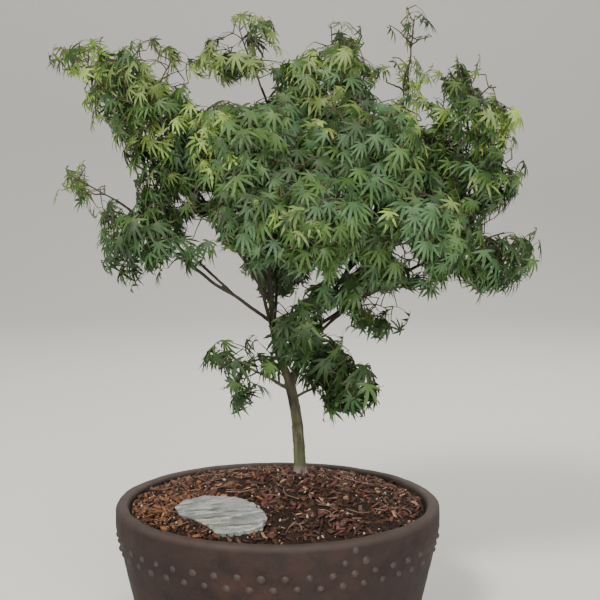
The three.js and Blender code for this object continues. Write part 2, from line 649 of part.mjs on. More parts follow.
// All of a mass's twigs and leaves, fused to its stem.
function massSolid(mass, stem, obstacles) {
  const random = seeded(mass.seed);
  const near = obstacles.filter(({ line }) =>
    line.closestPointToPoint(mass.middle, true, new THREE.Vector3()).distanceTo(mass.middle) < NEARBY * mass.reach);
  const twigs = growTwigs(mass, stem, near, random);
  const axes = twigs.map((twig) => new THREE.Line3(twig.getPoint(0.3), twig.getPoint(0.95)));
  for (let i = 1; i < 4; i++) {
    const from = mass.entry + (1 - mass.entry) * (i / 4);
    const to = mass.entry + (1 - mass.entry) * Math.min(0.97, (i + 1) / 4);
    axes.push(new THREE.Line3(stem.getPoint(from), stem.getPoint(to)));
  }
  const wood = twigs.map((twig) => straight(twig.getPoint(0.1), twig.getPoint(0.7), TWIG_RADIUS));
  const leaves = growLeaves(mass, axes, [...near, ...wood], random);
  const stemRadius = taper(mass.stemRadius, STEM_TIP_RADIUS);
  const twigRadius = taper(TWIG_RADIUS, TWIG_TIP_RADIUS);
  return wasm.Manifold.union([
    solidOf(limbGeometry(stem, mass.entry, 1, stemRadius, BOUGH_SIDES, STEM_RINGS)),
    ...twigs.map((twig) => solidOf(limbGeometry(twig, 0, 1, twigRadius, TWIG_SIDES, 1))),
    ...leaves.map(leafSolid),
  ]);
}

// The trunk, the leaders and the boughs, by name, in the order in which they grow. A mass that lies
// close to its limb has no bough, and its stem starts in the limb.
function growLimbs() {
  const limbs = new Map();
  const trunk = trunkLimb();
  const left = leaderLimb(LEFT_LINE, LEFT_LEADER_RADIUS);
  const right = leaderLimb(RIGHT_LINE, RIGHT_LEADER_RADIUS);
  left.solid = left.solid.subtract(trunk.cutter);
  right.solid = right.solid.subtract(trunk.cutter).subtract(left.cutter);
  limbs.set("trunk", trunk);
  limbs.set("leader_left", left);
  limbs.set("leader_right", right);
  MASSES.forEach((mass, index) => {
    mass.middle = point(...mass.at);
    mass.seed = FIRST_SEED + SEED_STEP * index;
  });
  for (const mass of MASSES) {
    const touches = (other) => mass.middle.distanceTo(other.middle) < mass.reach + other.reach;
    mass.neighbours = MASSES.filter((other) => other !== mass && touches(other));
  }
  for (const mass of MASSES) {
    const parent = limbs.get(mass.limb);
    const parentRadius = parent.radiusAt(mass.fork);
    mass.parent = parent;
    mass.line = boughLine(parent, mass);
    mass.entry = entryOf(mass.line, mass);
    mass.stemRadius = Math.min(STEM_RADIUS, CHILD_SHARE * parentRadius);
    const length = mass.line.getLength() * mass.entry - parentRadius;
    if (length < SHORTEST_BOUGH) {
      mass.entry = 0;
      continue;
    }
    const thick = Math.min(BOUGH_RADIUS, CHILD_SHARE * parentRadius + GAP);
    const tip = mass.entry - (1.5 * GAP) / mass.line.getLength();
    const bough = limbOf(mass.line, tip, thick, mass.stemRadius, BOUGH_SIDES, BOUGH_RINGS);
    bough.solid = bough.solid.subtract(parent.cutter);
    limbs.set(mass.name, bough);
  }
  return limbs;
}

function named(name, solid, material) {
  const mesh = new THREE.Mesh(geometryOf(solid), material);
  mesh.name = name;
  return mesh;
}

const plant = new THREE.Group();
plant.position.copy(FOOT);
const limbs = growLimbs();
for (const [name, limb] of limbs) {
  const isBough = MASSES.some((mass) => mass.name === name);
  plant.add(named(isBough ? "bough_" + name : name, limb.solid, BARK));
}
for (const mass of MASSES) {
  const bough = limbs.get(mass.name);
  const others = [...limbs.values()].filter((limb) => limb !== bough);
  const obstacles = others.flatMap((limb) => limb.pieces);
  if (bough) obstacles.push(...bough.pieces.slice(0, -1));
  let solid = massSolid(mass, mass.line, obstacles);
  if (!bough) solid = solid.subtract(mass.parent.cutter);
  plant.add(named("leaves_" + mass.name, solid, LEAF_GREEN));
}

const slate = slateSolid();
const soil = soilSolid().subtract(padSpace()).subtract(slateSolid(CLEARANCE));

const pottedMaple = new THREE.Group();
pottedMaple.add(named("pot", potSolid(), CLAY));
pottedMaple.add(named("soil", soil, EARTH));
pottedMaple.add(named("slate", slate, STONE));
pottedMaple.add(plant);

export default pottedMaple;
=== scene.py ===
"""Dresses the frame of a potted Japanese maple: clay pot, soil with bark mulch, slate, bark, twigs and leaves.

Laid out as an add-on for Blender 4.5 and run as a script. Lengths are in metres and +Z is up. The origin is
the middle of the pot's flat underside, and -Y is the front.
"""
import math
from functools import lru_cache

import bmesh
import bpy
import numpy as np
from bpy.props import FloatProperty, FloatVectorProperty, IntProperty, PointerProperty
from mathutils import Euler, Matrix, Vector, noise


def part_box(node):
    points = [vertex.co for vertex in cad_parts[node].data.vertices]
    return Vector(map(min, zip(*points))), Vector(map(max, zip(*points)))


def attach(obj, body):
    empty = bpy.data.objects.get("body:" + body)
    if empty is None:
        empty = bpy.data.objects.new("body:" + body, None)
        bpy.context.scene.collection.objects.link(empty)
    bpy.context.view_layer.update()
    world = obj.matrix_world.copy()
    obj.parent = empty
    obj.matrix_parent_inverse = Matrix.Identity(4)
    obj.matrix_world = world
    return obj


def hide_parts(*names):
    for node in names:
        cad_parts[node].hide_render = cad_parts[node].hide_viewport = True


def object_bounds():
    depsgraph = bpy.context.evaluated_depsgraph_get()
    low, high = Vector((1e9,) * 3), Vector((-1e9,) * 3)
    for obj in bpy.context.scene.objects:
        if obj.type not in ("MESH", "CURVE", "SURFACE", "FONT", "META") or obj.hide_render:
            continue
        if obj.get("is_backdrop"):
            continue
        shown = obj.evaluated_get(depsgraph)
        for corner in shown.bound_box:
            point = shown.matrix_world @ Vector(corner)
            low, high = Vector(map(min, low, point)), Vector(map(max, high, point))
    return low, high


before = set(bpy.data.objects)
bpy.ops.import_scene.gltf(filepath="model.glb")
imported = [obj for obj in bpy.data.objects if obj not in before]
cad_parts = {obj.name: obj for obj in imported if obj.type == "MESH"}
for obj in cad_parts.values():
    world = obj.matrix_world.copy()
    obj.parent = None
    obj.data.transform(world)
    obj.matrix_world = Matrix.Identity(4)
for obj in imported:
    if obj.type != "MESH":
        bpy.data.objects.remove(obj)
CAD_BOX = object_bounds()

bl_info = {
    "name": "Potted Maple",
    "version": (1, 0, 0),
    "blender": (4, 5, 0),
    "location": "View3D > Sidebar > Maple",
    "description": "Grows a bonsai maple with its pot, soil and slate on a fixed frame",
    "category": "Add Mesh",
}

TURN = 2 * math.pi
UP = np.array((0.0, 0.0, 1.0))

# The pot.
POT_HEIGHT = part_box("pot")[1][2]
POT_RADIUS = 0.160
RIM_THICKNESS = 0.013
RIM_ROUND = 0.0045
FLOOR_THICKNESS = 0.014
LIP_DEPTH = 0.026
LIP_EASE = 0.006
LIP_STEP = 0.001
WALL_LEAN = 0.22
FOOT_ROUND = 0.008
INNER_LEAN = 0.022
POT_STEPS = 208
POT_GRAIN = 0.0032  # longest stretch of its outline between two rings

# The studs: two rows all round, with two little peaks of studs above them, opposite each other.
STUDS_ROUND = 46
STUD_PEAKS = 2
STUD_RADIUS = 0.0028
STUD_STANDS = 0.0017
STUD_PROFILE = ((1.3, -0.25), (1.28, 0), (1.08, 0.10), (0.92, 0.36), (0.70, 0.72), (0.40, 0.94), (0, 1))
STUD_ROW_PITCH = 0.0112
LOW_STUD_ROW = 0.0739
PEAK_TURN = math.radians(26.7)

# The soil mound and what lies on it.
SOIL_EDGE = 0.107
SOIL_CROWN = 0.1328
SOIL_STEPS = 176
SOIL_RINGS = 62
SOIL_SHY = 0.0012  # between the soil and the pot's inner wall

# The slate, bedded a little way into the slope of the mound. Its outline has a piece broken out of its front
# left: each corner's turn in degrees and its distance from the middle.
SLATE = {"x": -0.052, "y": -0.086, "bedded": 0.0018, "turn": -0.42}
SLATE_OUTLINE = (
    (2, 0.047),
    (20, 0.040),
    (45, 0.034),
    (78, 0.032),
    (109, 0.035),
    (139, 0.045),
    (160, 0.051),
    (174, 0.050),
    (191, 0.040),
    (207, 0.027),
    (258, 0.021),
    (289, 0.035),
    (309, 0.040),
    (331, 0.047),
    (345, 0.052),
)
SLATE_LAYERS = ((0.0, 0.0022, -0.001), (0.0019, 0.0042, -0.0024), (0.0039, 0.0064, 0.0006))  # bottom, top, outset
SLATE_VOXEL = 0.0007

# The trunk and the two leaders. Plant sizes are counted from the trunk's foot.
FOOT = np.array((0.022, 0.045, 0.1285))
TRUNK_LINE = ((0, 0, 0), (-0.001, 0, 0.028), (-0.004, 0, 0.062), (-0.011, 0, 0.099))
LEFT_LINE = (
    (-0.010, 0, 0.095),
    (-0.022, -0.001, 0.128),
    (-0.028, 0, 0.156),
    (-0.031, 0.005, 0.190),
    (-0.033, 0.009, 0.240),
    (-0.024, 0.009, 0.310),
    (-0.018, 0.006, 0.368),
)
RIGHT_LINE = (
    (-0.009, 0, 0.092),
    (0.003, -0.004, 0.130),
    (0.011, -0.006, 0.152),
    (0.028, -0.006, 0.180),
    (0.057, -0.003, 0.224),
    (0.086, 0.003, 0.280),
    (0.104, 0.005, 0.350),
)
TRUNK_RADIUS = 0.0061
FORK_RADIUS = 0.0054
FLARE = 0.0029
FLARE_HEIGHT = 0.007
LEFT_LEADER_RADIUS = 0.0047
RIGHT_LEADER_RADIUS = 0.0040
LEADER_TIP_RADIUS = 0.0014
TAPER_SHAPE = 0.8
BARK_VOXEL = 0.0008

# Boughs, stems and twigs.
BOUGH_RADIUS = 0.0020
BOUGH_RISE = 0.1
STRAIGHT_BOUGH = "left_low"
SHORTEST_BOUGH = 0.016
CHILD_SHARE = 0.8
STEM_RADIUS = 0.0016
STEM_TIP_RADIUS = 0.0007
TWIG_RADIUS = 0.0010
TWIG_TIP_RADIUS = 0.0006
SPRAY_RADIUS = 0.00065
SPRAY_TIP_RADIUS = 0.0004
STALK_RADIUS = 0.00034
LONGEST_TWIG = 0.66
SHORTEST_TWIG = 0.008
TWIG_SHRINK = 0.85
TWIG_AHEAD = 0.4
TWIG_FLATNESS = 0.8
FIRST_PAIR = 0.3
PAIR_STRETCH = 0.5
ENTRY_DEPTH = 0.8
ENTRY_ROOM = 0.0022
PAST_THE_MIDDLE = 0.45
FIRST_SEED = 101
SEED_STEP = 17

# Foliage masses: name, middle, reach, the limb that bears it, how far along that limb it forks off and its
# pairs of main twigs.
MASSES = (
    ("left_low", (-0.147, -0.008, 0.243), 0.054, "leader_left", 0.34, 2),
    ("left_sprig", (-0.212, 0.018, 0.292), 0.036, "left_low", 0.44, 1),
    ("left_mid", (-0.125, 0.006, 0.315), 0.049, "leader_left", 0.43, 2),
    ("left_up", (-0.150, -0.002, 0.384), 0.058, "leader_left", 0.58, 2),
    ("left_tip", (-0.216, 0, 0.414), 0.033, "left_up", 0.7, 1),
    ("crown_left", (-0.052, 0.008, 0.425), 0.043, "leader_left", 0.9, 1),
    ("crown_mid", (0.030, -0.002, 0.412), 0.048, "leader_left", 0.97, 1),
    ("heart_left", (-0.050, -0.048, 0.340), 0.060, "leader_left", 0.66, 2),
    ("front_left", (-0.058, -0.078, 0.270), 0.055, "leader_left", 0.235, 2),
    ("low_centre", (0.002, -0.034, 0.168), 0.042, "leader_left", 0.16, 1),
    ("back_left", (-0.092, 0.085, 0.300), 0.062, "leader_left", 0.5, 2),
    ("back_mid", (0.002, 0.105, 0.350), 0.062, "leader_left", 0.63, 2),
    ("back_low", (-0.025, 0.092, 0.222), 0.054, "leader_left", 0.27, 2),
    ("skirt_left", (-0.058, -0.006, 0.111), 0.041, "trunk", 0.9, 1),
    ("skirt_right", (0.039, -0.004, 0.104), 0.043, "trunk", 0.82, 1),
    ("low_right", (0.066, -0.038, 0.186), 0.043, "leader_right", 0.2, 1),
    ("front_mid", (0.022, -0.092, 0.266), 0.056, "leader_right", 0.5, 2),
    ("front_right", (0.104, -0.066, 0.250), 0.058, "leader_right", 0.44, 2),
    ("right_low", (0.182, -0.006, 0.238), 0.056, "leader_right", 0.32, 2),
    ("right_mid", (0.170, 0.002, 0.312), 0.054, "leader_right", 0.62, 2),
    ("right_top", (0.176, 0.002, 0.380), 0.048, "leader_right", 0.84, 1),
    ("right_up", (0.062, -0.042, 0.336), 0.060, "leader_right", 0.68, 2),
    ("spire", (0.104, -0.012, 0.400), 0.029, "leader_right", 0.87, 1),
    ("spire_tip", (0.112, 0.006, 0.447), 0.031, "leader_right", 0.995, 1),
    ("back_right", (0.108, 0.090, 0.312), 0.062, "leader_right", 0.6, 2),
    ("back_low_right", (0.090, 0.084, 0.226), 0.052, "leader_right", 0.39, 2),
)

# Leaves: each lobe's turn from the middle one in degrees, and its length as a share of the middle one's.
SEVEN_LOBES = ((0, 1.0), (32, 0.94), (66, 0.78), (106, 0.44))
FIVE_LOBES = ((0, 1.0), (37, 0.88), (80, 0.60))
HANGING_LOBES = ((0, 1.0), (23, 0.95), (49, 0.80), (84, 0.46))
LOBE_EDGE = ((0.47, 0.078), (0.54, 0.064), (0.70, 0.062), (0.76, 0.045))  # teeth and the nicks above them
LOBE_RIB = (0.30, 0.56, 0.77)
SINUS = 0.23  # how near to the base two lobes part
LEAF_KINDS = ("deep_painted_shade", "mid", "cool", "fresh", "olive_painted_light")
BOX_MARGIN = 0.012  # how far leaves may stand out of the frame's box
CROWN_EDGE = 0.0045  # how far a leaf's tips may stand out of the masses, twice as far at top and bottom
LOOSE_ABOVE = 0.35
LEAF_TRIES = ((1.0, 0.0), (0.95, 0.8), (0.84, 1.5))  # sizes of a leaf and how far it turns towards its mass
LEAF_JOINTS = 0.0115  # between two pairs of leaves on a twig
HANG = 0.008  # how far leaves hang below the twigs' tips
LOBES_HANG = 0.006  # how far their lobes may hang below the masses
LARGE_BELOW = (0.26, 0.11)  # leaves grow larger from the first height down to the second
LARGER_BY = 0.26
FRESH_PLACES = (
    # middle of a place where young leaves show, from the pot's origin, how far it reaches and its share of them
    ((-0.060, -0.025, 0.472), 0.027, 0.7),
    ((0.225, 0.045, 0.483), 0.032, 0.85),
    ((-0.200, 0.045, 0.555), 0.034, 0.6),
    ((-0.196, 0.060, 0.432), 0.030, 0.35),
    ((0.142, 0.040, 0.536), 0.022, 0.7),
    ((0.046, 0.045, 0.540), 0.030, 0.4),
)

# The camera stands where the photograph was taken from.
CAMERA_PLACE = (0.0219, -1.300, 0.465)
CAMERA_DIP = math.radians(6.6)
CAMERA_LENS = 80.33
SENSOR_WIDTH = 36.0
PICTURE_SIDE = 600

# The sky that shows in or beside the crown: how far across and down each gap is and its half sizes, as the
# camera sees them in a picture of that side.
SKY_GAPS = (
    # left of the crown, and between its left part and its top
    (206, 93, 14, 12), (238, 94, 19, 9), (180, 80, 9, 5), (148, 57, 6, 4), (161, 68, 8, 6),
    (160, 20, 40, 8), (262, 96, 6, 5), (78, 31, 18, 9), (65, 93, 18, 14), (103, 168, 15, 20),
    (125, 190, 9, 13), (264, 52, 6, 4), (217, 22, 13, 11), (238, 39, 8, 6), (275, 62, 4, 6),
    (265, 84, 7, 5), (102, 180, 9, 13), (67, 208, 9, 12), (82, 222, 9, 8), (103, 134, 6, 8),
    (99, 201, 7, 5), (130, 204, 5, 4),
    # over and between the tops
    (295, 36, 12, 18), (303, 27, 14, 9), (319, 37, 11, 10), (375, 52, 11, 12), (388, 91, 11, 9),
    (393, 47, 9, 7), (395, 8, 11, 9), (443, 49, 8, 18), (432, 92, 9, 5), (446, 101, 3, 5),
    (496, 60, 14, 12), (488, 80, 11, 8), (506, 98, 7, 7), (524, 84, 18, 26), (442, 24, 9, 13),
    (426, 48, 12, 8), (404, 66, 3, 4), (335, 97, 4, 4), (400, 30, 3, 5), (417, 26, 3, 5),
    # on the right and under it
    (497, 226, 13, 9), (517, 218, 12, 14), (512, 161, 7, 6), (459, 291, 9, 8), (378, 303, 12, 7),
    (397, 312, 7, 5), (486, 302, 7, 4), (404, 299, 9, 8), (334, 323, 10, 8), (356, 338, 11, 7),
    (370, 352, 18, 10), (386, 367, 9, 8), (346, 344, 4, 3), (322, 352, 3, 3), (345, 420, 5, 4),
    # round the long left bough
    (198, 229, 13, 8), (212, 237, 6, 4), (228, 261, 16, 8), (222, 295, 34, 23), (248, 320, 16, 15),
    (196, 305, 18, 14), (282, 307, 5, 9), (174, 270, 7, 6), (147, 281, 8, 6), (166, 290, 12, 6),
    # round the two low tufts
    (308, 408, 8, 16), (238, 351, 9, 3), (235, 368, 3, 3), (268, 344, 5, 4), (253, 376, 4, 6),
    (214, 382, 9, 8), (266, 414, 12, 7), (212, 400, 12, 9), (222, 402, 7, 5), (261, 400, 8, 7),
    (284, 400, 8, 12),
    # glimpses inside the crown
    (337, 190, 4, 3), (376, 207, 4, 4), (431, 201, 3, 4), (403, 252, 7, 7), (416, 268, 6, 4),
    (352, 267, 6, 6), (237, 212, 4, 4), (206, 197, 7, 4), (178, 201, 6, 5),
    (270, 237, 5, 4), (300, 291, 4, 5), (313, 267, 4, 4),
)


# Shader maths.
class Value:
    """A socket of a material. Arithmetic on it adds Math nodes."""

    def __init__(self, surface, socket):
        self.surface = surface
        self.socket = socket

    def math(self, operation, *values):
        node = self.surface.node("ShaderNodeMath", {"operation": operation}, dict(enumerate(values)))
        return Value(self.surface, node.outputs[0])

    def __add__(self, other):
        return self.math("ADD", self, other)

    def __mul__(self, other):
        return self.math("MULTIPLY", self, other)

    def __sub__(self, other):
        return self.math("SUBTRACT", self, other)

    def __rsub__(self, other):
        return self.math("SUBTRACT", other, self)

    def __truediv__(self, other):
        return self.math("DIVIDE", self, other)

    __radd__ = __add__
    __rmul__ = __mul__


class Surface:
    """A material built from nodes."""

    def __init__(self, name):
        self.material = bpy.data.materials.new(name)
        self.material.use_nodes = True
        self.tree = self.material.node_tree
        self.tree.nodes.clear()

    def node(self, kind, settings=None, sockets=None):
        made = self.tree.nodes.new(kind)
        for name, setting in (settings or {}).items():
            if name == "stops":
                self.set_stops(made.color_ramp, setting)
            else:
                setattr(made, name, setting)
        for key, value in (sockets or {}).items():
            socket = made.inputs[key]
            if isinstance(value, Value):
                self.tree.links.new(value.socket, socket)
            else:
                socket.default_value = value
        return made

    @staticmethod
    def set_stops(ramp, stops):
        while len(ramp.elements) < len(stops):
            ramp.elements.new(1.0)
        for element, (place, level) in zip(ramp.elements, stops):
            element.position = place
            element.color = (level, level, level, 1.0)

    def place(self):
        return Value(self, self.node("ShaderNodeTexCoord").outputs["Object"])

    def stretched(self, scale):
        node = self.node("ShaderNodeMapping", {}, {"Vector": self.place(), "Scale": scale})
        return Value(self, node.outputs["Vector"])

    def height(self):
        node = self.node("ShaderNodeSeparateXYZ", {}, {"Vector": self.place()})
        return Value(self, node.outputs["Z"])

    def noise(self, scale, detail=3.0, vector=None):
        sockets = {"Vector": vector or self.place(), "Scale": scale, "Detail": detail}
        return Value(self, self.node("ShaderNodeTexNoise", {}, sockets).outputs[0])

    def ramp(self, value, *stops):
        node = self.node("ShaderNodeValToRGB", {"stops": stops}, {"Fac": value})
        return Value(self, node.outputs["Color"])

    def blend(self, first, second, share):
        first, second = (side if isinstance(side, Value) else (*side, 1.0) for side in (first, second))
        node = self.node("ShaderNodeMix", {"data_type": "RGBA"}, {0: share, 6: first, 7: second})
        return Value(self, node.outputs[2])

    def bump(self, height, distance, strength=1.0):
        node = self.node("ShaderNodeBump", {}, {"Height": height, "Distance": distance, "Strength": strength})
        return Value(self, node.outputs["Normal"])

    def finish(self, color, roughness, normal=None, **fixed):
        sockets = {"Base Color": color if isinstance(color, Value) else (*color, 1.0), "Roughness": roughness}
        if normal:
            sockets["Normal"] = normal
        sockets.update({name.replace("_", " "): value for name, value in fixed.items()})
        shader = self.node("ShaderNodeBsdfPrincipled", {}, sockets)
        out = self.node("ShaderNodeOutputMaterial")
        self.tree.links.new(shader.outputs[0], out.inputs[0])
        return self.material


def clay_material(color):
    surface = Surface("fired_clay")
    mottle = surface.ramp(surface.noise(46.0, 7.0), (0.34, 0.0), (0.66, 1.0))
    dusk = surface.ramp(surface.noise(11.0, 3.0), (0.40, 0.0), (0.62, 1.0))
    speck = surface.ramp(surface.noise(420.0, 2.0), (0.56, 0.0), (0.68, 1.0))
    body = surface.blend([0.40 * c for c in color], [1.55 * c for c in color], mottle)
    body = surface.blend(body, (0.015, 0.0085, 0.0085), dusk * 0.55)
    body = surface.blend(body, [1.7 * c for c in color], speck * 0.35)
    # The top 10 mm of the lip and rim turns lighter: partly wear, partly a painted sheen where light falls on the
    # lip.
    rim = surface.ramp((surface.height() - (POT_HEIGHT - 0.010)) / 0.010, (0.35, 0.0), (0.95, 1.0))
    wear_and_sheen = surface.noise(60.0, 4.0) * 0.5 + 0.45
    color = surface.blend(body, (0.080, 0.060, 0.050), rim * wear_and_sheen)
    grain = surface.noise(900.0, 4.0) * 0.6 + surface.noise(170.0, 3.0)
    return surface.finish(color, surface.noise(50.0) * 0.25 + 0.68, surface.bump(grain, 0.0006, 0.9))


def stud_material(color):
    surface = Surface("clay_wear_and_painted_highlight")
    wear_and_sheen = surface.noise(260.0, 3.0)
    # The studs are lighter and greyer than the wall: partly wear, partly a painted highlight where light catches
    # them.
    tint = surface.blend([1.1 * c for c in color], (0.068, 0.052, 0.046), wear_and_sheen)
    return surface.finish(tint, 0.62, surface.bump(surface.noise(1200.0, 3.0), 0.0003, 0.5))


def soil_material():
    surface = Surface("damp_soil")
    patch = surface.ramp(surface.noise(60.0, 5.0), (0.35, 0.0), (0.7, 1.0))
    crumb = surface.noise(700.0, 4.0)
    color = surface.blend((0.014, 0.007, 0.003), (0.048, 0.021, 0.010), patch * crumb)
    return surface.finish(color, 0.92, surface.bump(crumb, 0.0012, 0.9))


def chip_material(name, dark, light):
    surface = Surface(name)
    fibre = surface.noise(900.0, 4.0)
    tone = surface.ramp(surface.noise(120.0, 3.0), (0.3, 0.0), (0.72, 1.0))
    color = surface.blend(dark, light, tone * 0.6 + fibre * 0.4)
    return surface.finish(color, 0.8, surface.bump(fibre, 0.0006, 0.8))


def slate_material():
    surface = Surface("riven_slate")
    turned = surface.node(
        "ShaderNodeMapping", {}, {"Vector": surface.place(), "Rotation": (0.0, 0.0, 0.95), "Scale": (0.35, 1.8, 1.0)}
    )
    along = Value(surface, turned.outputs["Vector"])
    layers = surface.ramp(surface.noise(55.0, 7.0), (0.40, 0.0), (0.60, 1.0))
    # Pale streaks along the grain: partly the slate's own pale veins, partly a painted highlight.
    pale_streaks_and_highlight = surface.ramp(surface.noise(110.0, 5.0, along), (0.50, 0.0), (0.62, 1.0))
    cracks = surface.ramp(surface.noise(95.0, 7.0, along), (0.37, 1.0), (0.43, 0.0))
    flecks = surface.ramp(surface.noise(330.0, 4.0), (0.34, 1.0), (0.41, 0.0))
    blue = surface.ramp(surface.noise(30.0, 2.0), (0.42, 0.0), (0.60, 1.0))
    color = surface.blend((0.185, 0.200, 0.185), (0.36, 0.355, 0.315), layers)
    color = surface.blend(color, (0.32, 0.37, 0.40), blue * 0.4)
    color = surface.blend(color, (0.66, 0.645, 0.60), pale_streaks_and_highlight * 0.6)
    color = surface.blend(color, (0.090, 0.092, 0.080), cracks * 0.75)
    color = surface.blend(color, (0.120, 0.122, 0.108), flecks * 0.6)
    grain = surface.noise(520.0, 5.0)
    return surface.finish(color, grain * 0.2 + 0.45, surface.bump(grain + pale_streaks_and_highlight * 0.6, 0.0008, 0.8))


def bark_material(color):
    surface = Surface("maple_bark")
    fibre = surface.ramp(surface.noise(190.0, 6.0, surface.stretched((1.0, 1.0, 0.14))), (0.42, 0.0), (0.56, 1.0))
    patch = surface.ramp(surface.noise(150.0, 5.0, surface.stretched((1.0, 1.0, 0.6))), (0.40, 0.0), (0.60, 1.0))
    above = surface.height() - FOOT[2]
    foot = 1.0 - surface.ramp(above / 0.02, (0.20, 0.0), (0.60, 1.0))
    # The bark turns much darker higher up, over the top of the trunk, the leaders and the boughs.
    young = surface.ramp((above - 0.05) / 0.12, (0.0, 0.0), (1.0, 1.0))
    moss = surface.ramp(above / 0.07, (0.08, 0.0), (0.18, 1.0), (0.45, 0.35), (1.0, 0.12))
    green = surface.ramp(surface.noise(60.0, 3.0), (0.30, 0.2), (0.60, 1.0)) * moss
    bands = surface.ramp(surface.noise(260.0, 3.0, surface.stretched((0.35, 0.35, 1.3))), (0.54, 0.0), (0.66, 1.0))
    tint = surface.blend([0.2 * c for c in color], [1.25 * c for c in color], fibre * 0.7 + patch * 0.3)
    tint = surface.blend(tint, [0.3 * c for c in color], bands * 0.4)
    tint = surface.blend(tint, (0.105, 0.150, 0.066), green * 0.6)
    tint = surface.blend(tint, (0.022, 0.016, 0.011), young * 0.9)
    tint = surface.blend(tint, (0.27, 0.205, 0.205), foot * 0.9)
    return surface.finish(tint, 0.82, surface.bump(fibre + patch * 0.6, 0.0008, 0.9))


def twig_material(color):
    surface = Surface("twig_bark")
    tone = surface.noise(160.0, 3.0)
    tint = surface.blend([0.6 * c for c in color], [1.5 * c for c in color], tone)
    return surface.finish(tint, 0.62, surface.bump(surface.noise(900.0, 2.0), 0.0002, 0.5))


def leaf_material(kind, color):
    surface = Surface("leaf_" + kind)
    tone = surface.ramp(surface.noise(46.0, 2.0), (0.3, 0.0), (0.7, 1.0))
    tint = surface.blend([0.74 * c for c in color], [1.26 * c for c in color], tone)
    return surface.finish(tint, surface.noise(300.0, 2.0) * 0.16 + 0.46, surface.bump(surface.noise(750.0), 0.0002, 0.4))


def floor_material(color):
    surface = Surface("pale_floor")
    tint = surface.blend([0.985 * c for c in color], color, surface.noise(3.0, 4.0))
    return surface.finish(tint, 0.85)


# Meshes.
def linked(mesh_or_bmesh, name):
    """A new object in the scene from a mesh or a bmesh."""
    mesh = mesh_or_bmesh
    if isinstance(mesh_or_bmesh, bmesh.types.BMesh):
        mesh = bpy.data.meshes.new(name)
        mesh_or_bmesh.to_mesh(mesh)
        mesh_or_bmesh.free()
    made = bpy.data.objects.new(name, mesh)
    bpy.context.scene.collection.objects.link(made)
    return made


def baked(holder):
    """The mesh of an object with its modifiers applied. The object itself is removed."""
    graph = bpy.context.evaluated_depsgraph_get()
    mesh = bpy.data.meshes.new_from_object(holder.evaluated_get(graph))
    bpy.data.objects.remove(holder)
    return mesh


def seated(piece, material, slot, *nodes):
    """Gives a finished piece its material and its seat on the frame."""
    piece.data.materials.clear()
    piece.data.materials.append(material)
    if nodes:
        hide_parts(*nodes)
    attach(piece, "root")
    return piece


def smooth(mesh, on=True):
    mesh.polygons.foreach_set("use_smooth", [on] * len(mesh.polygons))


def spots_of(mesh):
    spots = np.empty(len(mesh.vertices) * 3)
    mesh.vertices.foreach_get("co", spots)
    return spots.reshape(-1, 3)


def normals_of(mesh):
    normals = np.empty(len(mesh.vertices) * 3)
    mesh.vertices.foreach_get("normal", normals)
    return normals.reshape(-1, 3)


def relief(spots, *waves):
    """Noise at each spot: the sum of waves, each an amplitude and a frequency for each axis."""
    total = np.zeros(len(spots))
    for amplitude, frequency in waves:
        total += [amplitude * noise.noise(Vector(spot)) for spot in spots * np.array(frequency)]
    return total


def roughened(mesh, mask, *waves):
    """Moves vertices along their normals by a relief, as far as the mask from 0 to 1 lets them."""
    spots = spots_of(mesh)
    shift = relief(spots, *waves) * mask(spots)
    mesh.vertices.foreach_set("co", (spots + normals_of(mesh) * shift[:, None]).ravel())
    mesh.update()


def spun(profile, steps):
    """A profile of radius and height, turned about the Z axis into a closed body."""
    body = bmesh.new()
    corners = [body.verts.new((radius, 0, height)) for radius, height in profile]
    edges = [body.edges.new(pair) for pair in zip(corners, corners[1:])]
    bmesh.ops.spin(
        body, geom=corners + edges, cent=(0, 0, 0), axis=(0, 0, 1), angle=TURN, steps=steps, use_merge=True
    )
    bmesh.ops.remove_doubles(body, verts=body.verts, dist=1e-6)
    bmesh.ops.recalc_face_normals(body, faces=body.faces)
    return body


def arc(middle, radius, start, end, steps=6):
    turns = (math.radians(start + (end - start) * i / steps) for i in range(steps + 1))
    return [(middle[0] + radius * math.cos(turn), middle[1] + radius * math.sin(turn)) for turn in turns]


def divided(profile, longest):
    """The profile with no stretch longer than asked."""
    made = [profile[0]]
    for start, end in zip(profile, profile[1:]):
        parts = max(1, math.ceil(math.dist(start, end) / longest))
        for i in range(1, parts + 1):
            made.append(tuple(a + (b - a) * i / parts for a, b in zip(start, end)))
    return made


def tubes(name, strands, sides):
    """One mesh of tubes, each along its own line of spots with its own radii."""
    curve = bpy.data.curves.new(name, "CURVE")
    curve.dimensions = "3D"
    curve.bevel_depth = 1.0
    curve.bevel_resolution = sides // 2 - 2
    curve.use_fill_caps = True
    for spots, radii in strands:
        spline = curve.splines.new("POLY")
        spline.points.add(len(spots) - 1)
        spline.points.foreach_set("co", np.c_[spots, np.ones(len(spots))].ravel())
        spline.points.foreach_set("radius", np.asarray(radii, float))
    holder = bpy.data.objects.new(name, curve)
    bpy.context.scene.collection.objects.link(holder)
    return baked(holder)


class Shape:
    """A small shape that is copied many times."""

    def __init__(self, body):
        body.verts.index_update()
        self.spots = np.array([tuple(vert.co) for vert in body.verts])
        self.corners = np.array([vert.index for face in body.faces for vert in face.verts])
        self.sizes = np.array([len(face.verts) for face in body.faces])
        body.free()


